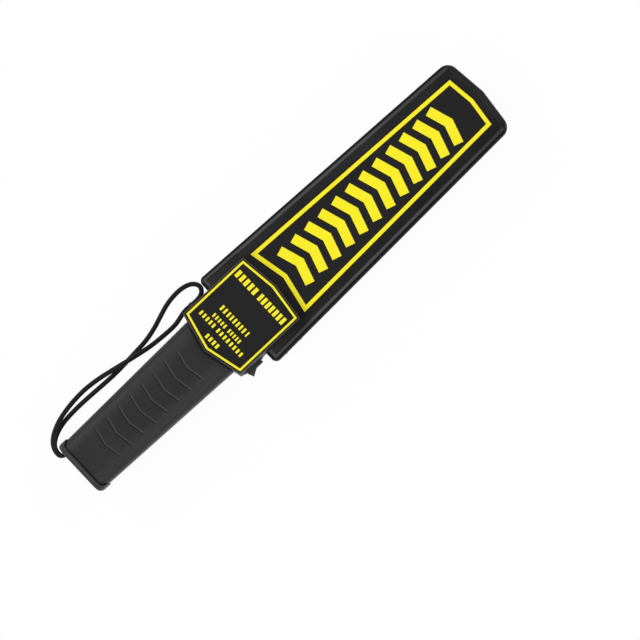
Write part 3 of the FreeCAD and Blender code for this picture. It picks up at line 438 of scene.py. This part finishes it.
def braidedNylon(name, filaments=(5200, 60)):
    # the braid's height is in the mesh; here each strand gets its filaments and the valleys their shade
    paint = Paint(name, IOR=1.35, Specular_IOR_Level=0.25, Sheen_Weight=0.1, Sheen_Roughness=0.4)
    along, around, _ = paint.parts(paint.uv())
    filament = (along * filaments[0] + around * filaments[1]).sine() * 0.5 + 0.5
    fuzz = paint.noise(1800, 3)
    crown = filament * 0.55 + paint.spread(fuzz, 0.4, 0.8) * 0.35
    paint.feed(
        Base_Color=paint.mix(crown, rgb(0.003, 0.003, 0.0035), rgb(0.019, 0.019, 0.021)),
        Roughness=paint.vary(fuzz, 0.5, 0.68),
        Normal=paint.bump(filament * 0.5 + fuzz * 0.5, 0.04 * mm, 0.7),
    )
    return paint.material


def smoothPlastic(name, colour, roughness):
    # polished tool marks and a few dull fingerprints
    paint = Paint(name, Specular_IOR_Level=0.4)
    prints = paint.noise(320, 3)
    marks = paint.noise(700, 2, paint.stretched((1, 6, 1)))
    lighter = shaded(colour, 1.4, 0.003)
    paint.feed(
        Base_Color=paint.mix(paint.spread(prints, 0.45, 0.75) * 0.4, rgb(*colour), lighter),
        Roughness=paint.spread(prints, 0.35, 0.65, roughness, roughness + 0.1),
        Normal=paint.bump(marks, 0.008 * mm, 0.5),
    )
    return paint.material


def lensPlastic(name, colour):
    # a tinted lens with a faint, darker haze
    paint = Paint(name, Specular_IOR_Level=0.5, Coat_Weight=0.6, Coat_Roughness=0.05)
    haze = paint.noise(1500, 2)
    paint.feed(
        Base_Color=paint.mix(paint.spread(haze, 0.35, 0.7), rgb(*colour), shaded(colour, 0.5)),
        Roughness=paint.vary(haze, 0.12, 0.2),
        Normal=paint.bump(haze, 0.004 * mm, 0.4),
    )
    return paint.material


def drawnMetal(name, colour, roughness):
    # fine lines from drawing or turning, and dull spots
    paint = Paint(name, Metallic=1)
    lines = paint.noise(2400, 2, paint.stretched((0.05, 1, 1)))
    spots = paint.noise(500, 3)
    paint.feed(
        Base_Color=paint.mix(paint.spread(spots, 0.5, 0.8), rgb(*colour), shaded(colour, 0.7)),
        Roughness=paint.vary(spots, roughness, roughness + 0.15),
        Normal=paint.bump(lines, 0.006 * mm, 0.5),
    )
    return paint.material


def circuitLacquer(name, turns=(900, 1100), wander=(9, 7), edges=(0.55, 0.72)):
    # green lacquer over copper tracks, the crests of two waves that cross and wander
    paint = Paint(name, Specular_IOR_Level=0.5)
    along, across, _ = paint.parts(paint.place())
    bend = paint.noise(90, 1)
    tracks = [(way * turn + bend * drift).sine() > edge
              for way, turn, drift, edge in zip((along, across), turns, wander, edges)]
    track = tracks[0].most(tracks[1])
    paint.feed(
        Base_Color=paint.mix(track, rgb(0.012, 0.11, 0.04), rgb(0.03, 0.2, 0.07)),
        Roughness=0.28 + track * 0.1,
        Normal=paint.bump(track, 0.03 * mm, 0.7),
    )
    return paint.material


def batterySleeve(name, bandStart=0.62, bandEnd=0.9):
    # a dark sleeve with one plain metallic band, which takes a share of its length
    paint = Paint(name, Specular_IOR_Level=0.5)
    along, _, _ = paint.parts(paint.place())
    low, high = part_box("battery")
    share = (along - low.x) / (high.x - low.x)
    band = (share > bandStart) * (share < bandEnd)
    haze = paint.noise(300, 2)
    paint.feed(
        Base_Color=paint.mix(band, rgb(0.02, 0.02, 0.025), rgb(0.55, 0.38, 0.12)),
        Metallic=band * 0.8,
        Roughness=paint.vary(haze, 0.25, 0.4),
        Normal=paint.bump(haze, 0.01 * mm, 0.4),
    )
    return paint.material


def openFoam(name):
    # pores with painted shade inside
    paint = Paint(name, Specular_IOR_Level=0.2)
    pores = paint.cells(1300)
    paint.feed(
        Base_Color=paint.mix(paint.spread(pores, 0.1, 0.5), rgb(0.01, 0.01, 0.01), rgb(0.07, 0.07, 0.072)),
        Roughness=paint.spread(pores, 0, 0.6, 0.95, 0.8),
        Normal=paint.bump(pores, 0.3 * mm, 1),
    )
    return paint.material


def wireSleeve(name):
    # of each pair of wires the upper side's is red and the other black
    paint = Paint(name, Specular_IOR_Level=0.4)
    _, across, _ = paint.parts(paint.place())
    haze = paint.noise(700, 2)
    paint.feed(
        Base_Color=paint.mix(across > 0, rgb(0.012, 0.012, 0.012), rgb(0.5, 0.015, 0.012)),
        Roughness=paint.vary(haze, 0.4, 0.55),
        Normal=paint.bump(haze, 0.02 * mm, 0.4),
    )
    return paint.material


def copperWinding(name, wire=0.3 * mm):
    # turns of fine enamelled wire lie beside each other through the winding's height, with painted shade
    # in the valleys between them
    paint = Paint(name, Metallic=0.9)
    _, _, up = paint.parts(paint.place())
    turns = (up * 2 * math.pi / wire).sine() * 0.5 + 0.5
    haze = paint.noise(120, 3)
    base = paint.mix(paint.spread(haze, 0.35, 0.7), rgb(0.42, 0.13, 0.035), rgb(0.6, 0.22, 0.07))
    paint.feed(
        # painted shade between the turns
        Base_Color=paint.mix(turns * 0.5 + 0.5, rgb(0.1, 0.03, 0.01), base),
        Roughness=paint.vary(haze, 0.28, 0.4),
        Normal=paint.bump(turns, 0.08 * mm, 0.9),
    )
    return paint.material


finishes = dict(
    # the paddle's colour, the grip's and neck's handled colour, the colour of the painted highlights, and
    # the roughness
    housing=housingPlastic("charcoalHousing", (0.0078, 0.0078, 0.008), (0.020, 0.020, 0.0204),
                           (0.075, 0.075, 0.076), 0.46),
    cap=mouldedPlastic("charcoalCap", (0.036, 0.036, 0.0365), 0.45),
    label=printedSheet("blackSheet", (0.0085, 0.0085, 0.0087)),
    yellowInk=screenInk("yellowInk", (0.83, 0.735, 0.019), (0.79, 0.665, 0.012)),
    whiteInk=screenInk("whiteInk", (0.86, 0.86, 0.86), (0.74, 0.74, 0.74)),
    cord=braidedNylon("blackBraid"),
    switch=smoothPlastic("switchBlack", (0.026, 0.026, 0.027), 0.3),
    redLens=lensPlastic("redLens", (0.11, 0.006, 0.005)),
    greenLens=lensPlastic("greenLens", (0.007, 0.06, 0.013)),
    tinned=drawnMetal("tinnedSteel", (0.7, 0.7, 0.68), 0.25),
    brass=drawnMetal("drawnBrass", (0.75, 0.52, 0.2), 0.28),
    screw=drawnMetal("zincSteel", (0.55, 0.55, 0.54), 0.3),
    motorCan=drawnMetal("drawnCan", (0.62, 0.62, 0.6), 0.22),
    board=circuitLacquer("greenLacquer"),
    chip=mouldedPlastic("chipEpoxy", (0.014, 0.014, 0.014), 0.5, 0.3 * mm, 0.008 * mm, 0.1),
    trimmer=smoothPlastic("trimmerBlue", (0.01, 0.07, 0.35), 0.3),
    battery=batterySleeve("batterySleeve"),
    foam=openFoam("openFoam"),
    wire=wireSleeve("wireSleeve"),
    former=mouldedPlastic("naturalFormer", (0.62, 0.6, 0.53), 0.5, 0.6 * mm, 0.01 * mm, 0.1),
    winding=copperWinding("copperWinding"),
)
finishOf = dict(
    housing=("front_shell", "back_shell"),
    cap=("end_cap",),
    label=("front_paddle_label", "back_paddle_label", "front_neck_label", "back_neck_label"),
    cord=("cord_knot", "wrist_cord"),
    switch=("rocker_frame", "rocker_cap", "slide_switch_knob"),
    redLens=("alarm_lamp",),
    greenLens=("power_lamp",),
    tinned=("slide_switch_body", "lamp_legs"),
    brass=("rocker_terminals", "motor_weight"),
    screw=("case_screws", "board_screws", "motor_shaft"),
    motorCan=("vibration_motor",),
    board=("circuit_board",),
    chip=("control_chip", "capacitors", "buzzer", "battery_snap", "earphone_jack"),
    trimmer=("sensitivity_trimmer",),
    battery=("battery",),
    foam=("foam_pad",),
    wire=("battery_leads", "motor_leads", "rocker_leads", "coil_leads"),
    former=("coil_former",),
    winding=("search_coil",),
)


def dressNodes():
    for finish, names in finishOf.items():
        for name in names:
            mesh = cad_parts[name].data
            mesh.materials.clear()
            mesh.materials.append(finishes[finish])


dressNodes()
print("nodes dressed,", len(finishes), "finishes")


# Surfaces on a grid: points[i, j] become quads, closed or open each way

def gridFaces(rows, columns, closeRows=False, closeColumns=False):
    index = np.arange(rows * columns).reshape(rows, columns)
    if closeRows:
        index = np.vstack([index, index[:1]])
    if closeColumns:
        index = np.hstack([index, index[:, :1]])
    quads = np.stack([index[:-1, :-1], index[1:, :-1], index[1:, 1:], index[:-1, 1:]], axis=-1)
    return quads.reshape(-1, 4)


def meshFrom(name, points, faces, smooth=False, uv=None):
    mesh = bpy.data.meshes.new(name)
    mesh.vertices.add(len(points))
    mesh.vertices.foreach_set("co", np.ascontiguousarray(points, np.float32).ravel())
    sides = faces.shape[1]
    mesh.loops.add(faces.size)
    mesh.loops.foreach_set("vertex_index", faces.ravel().astype(np.int32))
    mesh.polygons.add(len(faces))
    mesh.polygons.foreach_set("loop_start", np.arange(0, faces.size, sides, dtype=np.int32))
    mesh.polygons.foreach_set("loop_total", np.full(len(faces), sides, np.int32))
    mesh.polygons.foreach_set("use_smooth", np.full(len(faces), smooth))
    mesh.update(calc_edges=True)
    if uv is not None:
        layer = mesh.uv_layers.new(name="UVMap")
        layer.data.foreach_set("uv", np.ascontiguousarray(uv[faces.ravel()], np.float32).ravel())
    mesh.validate()
    return mesh


def addPiece(name, mesh, material, body):
    piece = bpy.data.objects.new(name, mesh)
    scene.collection.objects.link(piece)
    mesh.materials.append(material)
    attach(piece, body)
    return piece


# Wrist cord: the route's points are the control points of one smooth line, in millimetres
# from the cap's face, the wand's middle line and the table

cord = dict(
    diameter=3.8 * mm,
    ringStep=0.3 * mm,
    sides=40,
    strands=8,  # each way round
    lay=8.5 * mm,  # length of one turn of a strand
    relief=0.075,  # share of the radius between valley and crown
    under=0.45,  # share of its height that a strand loses where it passes under
    endTaper=0.5 * mm,
    mapLength=100 * mm,  # of cord, for one unit of its UV map
    pathStep=4,  # rings from one point of the cord's path to the next
    curveOrder=3,
    curveSteps=24,
    route=[
        (3.5, 15.3, 25.2), (-3.6, 15.3, 25.2), (-4.3, 22.8, 23.6), (-1.0, 29.4, 19.8), (5.4, 34.6, 14.2),
        (14.6, 38.9, 7.4), (27.0, 41.6, 2.4), (41.0, 42.6, 1.9), (55.0, 41.2, 1.9), (70.0, 37.9, 6.6),
        (87.5, 34.2, 6.6), (100.0, 32.2, 1.9), (113.0, 31.3, 1.9), (125.0, 31.0, 1.9), (136.0, 34.2, 1.9),
        (144.0, 33.7, 1.9), (151.0, 33.6, 1.9), (156.0, 35.6, 1.9), (158.0, 40.4, 1.9), (154.6, 45.4, 1.9),
        (148.0, 47.8, 1.9), (140.0, 48.2, 1.9), (130.0, 46.8, 1.9), (120.0, 43.3, 1.9), (110.0, 39.8, 1.9),
        (99.0, 37.4, 1.9), (88.0, 36.7, 1.9), (76.5, 35.8, 1.9), (64.0, 35.3, 1.9), (50.0, 35.8, 1.9),
        (36.5, 36.3, 1.9), (24.5, 36.2, 2.1), (13.4, 35.1, 4.6), (4.8, 32.2, 9.4), (-1.2, 28.0, 14.0),
        (-4.1, 22.7, 18.1), (-3.6, 15.3, 19.8), (3.5, 15.3, 19.8),
    ],
)


def smoothLine(c):
    # the NURBS curve of the route's points, read back as a row of points
    points = np.array(c["route"]) * mm
    points[:, 0] -= midLength
    curve = bpy.data.curves.new("cordLine", "CURVE")
    curve.dimensions = "3D"
    spline = curve.splines.new("NURBS")
    spline.points.add(len(points) - 1)
    spline.points.foreach_set("co", np.hstack([points, np.ones((len(points), 1))]).ravel())
    spline.order_u = c["curveOrder"]
    spline.use_endpoint_u = True
    spline.resolution_u = c["curveSteps"]
    holder = bpy.data.objects.new("cordLine", curve)
    mesh = bpy.data.meshes.new_from_object(holder)
    line = np.zeros(len(mesh.vertices) * 3)
    mesh.vertices.foreach_get("co", line)
    bpy.data.meshes.remove(mesh)
    bpy.data.curves.remove(curve)
    return line.reshape(-1, 3)


def evenly(line, step):
    # the same line with points a fixed step apart
    along = np.concatenate([[0], np.cumsum(np.linalg.norm(np.diff(line, axis=0), axis=1))])
    at = np.linspace(0, along[-1], int(along[-1] / step) + 1)
    return np.stack([np.interp(at, along, line[:, k]) for k in range(3)], axis=1), at


def makeCord():
    # The surface is the line plus a ring, square to it, whose radius follows the braid: the higher
    # of two families of raised strands that wind round opposite ways, one over the other in turn.
    c = cord
    line, along = evenly(smoothLine(c), c["ringStep"])
    print("cord length %.4f" % along[-1])
    tangent = np.gradient(line, axis=0)
    tangent /= np.linalg.norm(tangent, axis=1)[:, None]
    side = np.cross(tangent, (0, 0, 1))
    side /= np.linalg.norm(side, axis=1)[:, None]
    rise = np.cross(side, tangent)
    around = np.linspace(0, 2 * math.pi, c["sides"], endpoint=False)
    s, a = np.meshgrid(along, around, indexing="ij")
    turn = a * c["strands"] / 2
    advance = 2 * math.pi * s / c["lay"] * c["strands"] / 2
    one, other = turn + advance, turn - advance
    over = 0.5 + 0.5 * np.sin(one + other) * np.sin(one - other)
    crown = np.maximum(np.abs(np.cos(one)) * (1 - c["under"] * (1 - over)),
                       np.abs(np.cos(other)) * (1 - c["under"] * over))
    fromEnd = np.minimum(s, along[-1] - s)
    taper = np.clip(fromEnd / c["endTaper"], 0, 1) ** 0.5  # closed ends, inside the cap
    radius = c["diameter"] / 2 * (1 - c["relief"] + c["relief"] * crown) * taper
    points = (line[:, None] + side[:, None] * (np.cos(a) * radius)[..., None]
              + rise[:, None] * (np.sin(a) * radius)[..., None])
    uv = np.stack([s / c["mapLength"], a / (2 * math.pi)], axis=-1).reshape(-1, 2)
    faces = gridFaces(len(along), c["sides"], closeColumns=True)
    mesh = meshFrom("wristCord", points.reshape(-1, 3), faces, smooth=True, uv=uv)
    piece = addPiece("wristCord", mesh, finishes["cord"], "cap")
    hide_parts("wrist_cord")


makeCord()
print("cord made")


# Printed marks: thin layers of ink on the four sheets. Every mark is a stroke along a path or a band
# between two outlines. Stations count from the cap's face, and the tables are in millimetres.

prints = dict(
    rise=0.025 * mm,
    sink=0.02 * mm,
    # inset of the frame's outer edge, and its width at the base, along the sides and at the tip
    frontPaddleFrame=dict(inset=0.7 * mm, base=3.5 * mm, side=2.9 * mm, tip=3.0 * mm),
    backPaddleFrame=dict(inset=0.7 * mm, base=3.3 * mm, side=2.9 * mm, tip=3.0 * mm),
    neckFrame=dict(inset=0.8 * mm, width=1.55 * mm),
    screwBreak=4.4 * mm,  # half the gap that the back frame leaves at the screw's recess
    chevrons=dict(
        count=12,
        first=221.5 * mm,
        pitch=13.7 * mm,
        halfHeight=16.5 * mm,
        sweep=5.2 * mm,
        width=7.4 * mm,
    ),
    # rows of blocks: lowest and highest station, share of the pitch that a block fills, then for each
    # group where it starts and ends across the wand and its number of blocks
    frontNeckRows=[
        (182.3, 188.2, 0.64, [(25.6, 5.0, 5), (1.6, -24.8, 7)]),
        (157.3, 161.7, 0.5, [(15.0, 9.8, 2), (7.9, -10.0, 6), (-12.2, -13.4, 1)]),
        (149.8, 153.2, 0.5, [(15.0, 2.0, 5), (-1.2, -13.3, 5)]),
        (144.0, 147.7, 0.5, [(23.0, 8.0, 5), (4.8, -21.3, 8)]),
        (135.4, 139.2, 0.55, [(7.5, -5.0, 4)]),
    ],
    bars=dict(
        width=1.05 * mm,
        gap=1.3 * mm,
        least=1.5 * mm,  # no further bar where less of the line is left
        mean=5.2 * mm,
        swing=3.0 * mm,
        turnByLine=2.3,
        turnByBar=1.7,
    ),
    # lines of bars: station, start across the wand and length
    backPaddleLines=[
        (382.0, -15.5, 33.0), (375.2, -15.6, 31.5), (368.4, -15.7, 31.7), (361.6, -15.8, 34.9),
        (354.8, -15.9, 33.5), (348.0, -16.0, 32.2), (341.2, -16.1, 35.0), (334.4, -16.2, 35.2),
        (327.6, -16.3, 36.6), (320.8, -16.4, 32.2), (314.0, -16.5, 8.0), (297.0, -16.6, 34.7),
        (290.1, -16.7, 35.4), (283.2, -16.8, 35.8), (276.3, -16.9, 33.0), (269.4, -17.0, 38.8),
        (262.5, -17.0, 34.6), (255.6, -17.1, 35.9), (248.7, -17.1, 41.2), (241.8, -17.2, 38.3),
        (234.9, -17.2, 16.1),
    ],
    backNeckLines=[
        (183.3, -25.0, 42.5), (177.9, -25.2, 22.6), (172.4, -25.0, 39.4), (149.2, -2.4, 22.0),
        (143.4, 8.6, 11.8), (139.4, 12.3, 8.1), (141.3, -21.8, 13.7),
    ],
    backNeckRows=[(187.3, 190.3, 0.5, [(-10.6, -4.6, 2), (-2.6, 9.6, 6), (11.4, 12.4, 1)])],
    # white signs: a hollow square on the slide knob's side and a hollow rectangle beside the rocker,
    # then a triangle and a bar next to the square
    hollowSigns=[
        dict(station=150.1 * mm, across=23.3 * mm, length=4.6 * mm, width=4.6 * mm, line=1.2 * mm),
        dict(station=142.1 * mm, across=-25.0 * mm, length=6.0 * mm, width=3.4 * mm, line=0.95 * mm),
    ],
    solidSigns=[
        dict(station=143.8 * mm, start=21.5 * mm, end=24.9 * mm, width=(3.6 * mm, 0.1 * mm)),
        dict(station=139.4 * mm, start=22.7 * mm, end=25.7 * mm, width=1.3 * mm),
    ],
)


def layer(right, left, low, high):
    # the points of a flat layer between two lines of as many points: four for each pair
    ring = np.stack([right, left, left, right], axis=1)
    heights = np.broadcast_to([low, low, high, high], ring.shape[:2])[..., None]
    return np.concatenate([ring, heights], axis=2).reshape(-1, 3)


def stroke(points, width, low, high):
    # The surface is a flat rectangle carried along the path: at each point it stands on the line
    # that halves the turn, so that corners are mitred. Width may differ from point to point.
    path = np.array(points, float)
    onward = np.diff(path, axis=0)
    onward /= np.linalg.norm(onward, axis=1)[:, None]
    before, after = np.vstack([onward[:1], onward]), np.vstack([onward, onward[-1:]])
    normal = np.stack([-before[:, 1] - after[:, 1], before[:, 0] + after[:, 0]], axis=1)
    normal /= 1 + (before * after).sum(axis=1)[:, None]
    half = normal * np.broadcast_to(width, len(path))[:, None] / 2
    last = 4 * (len(path) - 1)
    ends = [[3, 2, 1, 0], [last, last + 1, last + 2, last + 3]]
    faces = np.vstack([gridFaces(len(path), 4, closeColumns=True), ends])
    return layer(path - half, path + half, low, high), faces


def joined(strokes):
    # several strokes as one, with each one's faces counted on from the points before it
    first = np.cumsum([0] + [len(points) for points, _ in strokes])
    return (np.vstack([points for points, _ in strokes]),
            np.vstack([faces + start for (_, faces), start in zip(strokes, first)]))


def outlineInset(corners, distances):
    # The corners of an anticlockwise outline after each side moves inwards by its own distance:
    # each corner goes to where its two moved sides meet.
    path = np.array(corners, float)
    onward = np.roll(path, -1, axis=0) - path
    onward /= np.linalg.norm(onward, axis=1)[:, None]
    before = np.roll(onward, 1, axis=0)
    after = np.broadcast_to(distances, len(path))
    prior = np.roll(after, 1)
    cross = before[:, 0] * onward[:, 1] - before[:, 1] * onward[:, 0]
    return path + (onward * prior[:, None] - before * after[:, None]) / cross[:, None]


def band(outer, inner, low, high):
    # the surface between two outlines of as many corners, as a flat closed layer
    return layer(outer, inner, low, high), gridFaces(len(outer), 4, closeRows=True, closeColumns=True)


def blockRows(rows, low, high):
    # every block is a stroke along the wand, and a group's blocks stand evenly between its two ends
    strokes = []
    for start, end, share, groups in rows:
        for first, last, count in groups:
            pitch = (last - first) / (count - 1 + share) if count > 1 else (last - first) / share
            for k in range(count):
                y = (first + pitch * (k + share / 2)) * mm
                path = [(start * mm - midLength, y), (end * mm - midLength, y)]
                strokes.append(stroke(path, abs(pitch) * share * mm, low, high))
    return strokes


def barRows(lines, low, high):
    # each line is a row of bars whose lengths follow a sine of their place
    b = prints["bars"]
    strokes = []
    for i, (station, start, length) in enumerate(lines):
        x, y, k = station * mm - midLength, start * mm, 0
        end = (start + length) * mm
        while y < end - b["least"]:
            swing = b["swing"] * math.sin(i * b["turnByLine"] + k * b["turnByBar"])
            reach = min(end, y + b["mean"] + swing)
            strokes.append(stroke([(x, y), (x, reach)], b["width"], low, high))
            y, k = reach + b["gap"], k + 1
    return strokes


def hollowSign(sign, low, high):
    # the band between a rectangle and the same one inset by its line's width
    unit = np.array([(-0.5, -0.5), (0.5, -0.5), (0.5, 0.5), (-0.5, 0.5)])
    outer = unit * (sign["length"], sign["width"]) + (sign["station"] - midLength, sign["across"])
    return band(outer, outlineInset(outer, sign["line"]), low, high)


def solidSign(sign, low, high):
    # a stroke across the wand, which tapers where the sign has two widths
    x = sign["station"] - midLength
    return stroke([(x, sign["start"]), (x, sign["end"])], sign["width"], low, high)


def addInk(name, strokes, ink):
    addPiece(name, meshFrom(name, *joined(strokes)), finishes[ink], "case")


# The sheets' corners, worked out from the CAD nodes and the notch and tip that the photograph shows
sheet = dict(notch=6.1 * mm, tipRise=2.8 * mm, tipShare=0.776, neckBaseRise=7.3 * mm, neckTipRise=3.7 * mm)


def paddleCorners(node):
    # an arrow that points to the tip, with a notch at its base
    low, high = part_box(node)
    near, far = high.y, high.y * sheet["tipShare"]
    start, tip = low.x, high.x
    return [(start + sheet["notch"], 0), (start, -near), (tip - sheet["tipRise"], -far), (tip, 0),
            (tip - sheet["tipRise"], far), (start, near)]


def neckCorners(node):
    # a hexagon with one point towards the grip and a blunter one towards the tip
    low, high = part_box(node)
    return [(low.x, 0), (low.x + sheet["neckBaseRise"], -high.y), (high.x - sheet["neckTipRise"], -high.y),
            (high.x, 0), (high.x - sheet["neckTipRise"], high.y), (low.x + sheet["neckBaseRise"], high.y)]


def inkLevels(node):
    # a layer's lower and upper face on the sheet's outer face, for front and back sheets
    low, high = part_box(node)
    if low.z > (cadLow.z + cadHigh.z) / 2:
        return high.z - prints["sink"], high.z + prints["rise"]
    return low.z - prints["rise"], low.z + prints["sink"]


def paddleFrame(node, f):
    corners = paddleCorners(node)
    widths = np.array([f["base"], f["side"], f["tip"], f["tip"], f["side"], f["base"]])
    outer, inner = outlineInset(corners, f["inset"]), outlineInset(corners, f["inset"] + widths)
    return band(outer, inner, *inkLevels(node))


def frontPaddleMarks():
    node = "front_paddle_label"
    low, high = inkLevels(node)
    c = prints["chevrons"]
    strokes = [paddleFrame(node, prints["frontPaddleFrame"])]
    for i in range(c["count"]):
        x = c["first"] + c["pitch"] * i - midLength
        back, front = x - c["sweep"] / 2, x + c["sweep"] / 2
        path = [(back, -c["halfHeight"]), (front, 0), (back, c["halfHeight"])]
        strokes.append(stroke(path, c["width"], low, high))
    addInk("frontPaddleInk", strokes, "yellowInk")


def backPaddleMarks():
    node = "back_paddle_label"
    low, high = inkLevels(node)
    addInk("backPaddleInk", [paddleFrame(node, prints["backPaddleFrame"])], "yellowInk")
    addInk("backPaddleLines", barRows(prints["backPaddleLines"], low, high), "yellowInk")


def frontNeckMarks():
    node = "front_neck_label"
    low, high = inkLevels(node)
    f = prints["neckFrame"]
    corners = neckCorners(node)
    outer, inner = outlineInset(corners, f["inset"]), outlineInset(corners, f["inset"] + f["width"])
    strokes = [band(outer, inner, low, high)] + blockRows(prints["frontNeckRows"], low, high)
    addInk("frontNeckInk", strokes, "yellowInk")


def backNeckMarks():
    # the frame starts and ends on either side of the screw's recess
    node = "back_neck_label"
    low, high = inkLevels(node)
    f = prints["neckFrame"]
    middle = outlineInset(neckCorners(node), f["inset"] + f["width"] / 2)
    share = prints["screwBreak"] / abs(middle[1, 1])
    first = middle[0] + (middle[1] - middle[0]) * share
    last = middle[0] + (middle[5] - middle[0]) * share
    path = np.vstack([first, middle[1:], last])
    strokes = [stroke(path, f["width"], low, high)]
    strokes += barRows(prints["backNeckLines"], low, high)
    strokes += blockRows(prints["backNeckRows"], low, high)
    addInk("backNeckInk", strokes, "yellowInk")
    signs = [hollowSign(sign, low, high) for sign in prints["hollowSigns"]]
    signs += [solidSign(sign, low, high) for sign in prints["solidSigns"]]
    addInk("backNeckSigns", signs, "whiteInk")


frontPaddleMarks()
backPaddleMarks()
frontNeckMarks()
backNeckMarks()
print("sheets printed")


# Floor, lights and world

studio = dict(
    floorSize=12.0,
    floorDrop=0.05 * mm,
    floorColour=0.8,
    floorRoughness=0.9,
    cameraWhite=0.95,  # share of plain white that the camera sees in the floor
    worldLevel=0.45,
    lampSize=1.4,
    lamps=dict(
        capEnd=dict(place=(-1.7, 0.2, 2.3), power=29),
        tipEnd=dict(place=(2.0, 0.1, 1.5), power=13),
        strapSide=dict(place=(-0.4, 2.0, 1.7), power=22.5),
        rockerSide=dict(place=(0.3, -2.1, 1.7), power=18.5),
    ),
)


def floorPaint():
    # lit white, mixed with plain white for the rays that see it directly or as a reflection
    paint = Paint("floorWhite", Roughness=studio["floorRoughness"])
    paint.feed(Base_Color=shaded((1, 1, 1), studio["floorColour"]))
    kinds = ("Camera", "Glossy", "Transmission")
    rays = [paint.add("ShaderNodeLightPath", {}, out="Is %s Ray" % kind) for kind in kinds]
    seen = rays[0].most(rays[1]).most(rays[2])
    lit = Wire(paint, paint.shader.outputs["BSDF"])
    glow = paint.add("ShaderNodeEmission", {}, Strength=1)
    surface = paint.add("ShaderNodeMixShader", {}, seen * studio["cameraWhite"], lit, glow)
    paint.join(surface, paint.tree.nodes["Material Output"].inputs["Surface"])
    return paint.material


def makeFloor():
    half = studio["floorSize"] / 2
    points = np.array([(-half, -half), (half, -half), (half, half), (-half, half)])
    points = np.hstack([points, np.full((4, 1), -studio["floorDrop"])])
    floor = bpy.data.objects.new("floor", meshFrom("floor", points, np.array([[0, 1, 2, 3]])))
    floor.data.materials.append(floorPaint())
    scene.collection.objects.link(floor)


def makeLights():
    for name, lamp in studio["lamps"].items():
        light = bpy.data.lights.new(name, "AREA")
        light.shape = "DISK"
        light.size, light.energy = studio["lampSize"], lamp["power"]
        holder = bpy.data.objects.new(name, light)
        place = Vector(lamp["place"])
        turn = (-place).to_track_quat("-Z", "Y").to_matrix().to_4x4()
        holder.matrix_world = Matrix.Translation(place) @ turn
        scene.collection.objects.link(holder)
    world = bpy.data.worlds.new("studio")
    world.use_nodes = True
    background = world.node_tree.nodes["Background"]
    background.inputs["Color"].default_value = rgb(1, 1, 1)
    background.inputs["Strength"].default_value = studio["worldLevel"]
    scene.world = world


makeFloor()
makeLights()
print("floor and lights made")
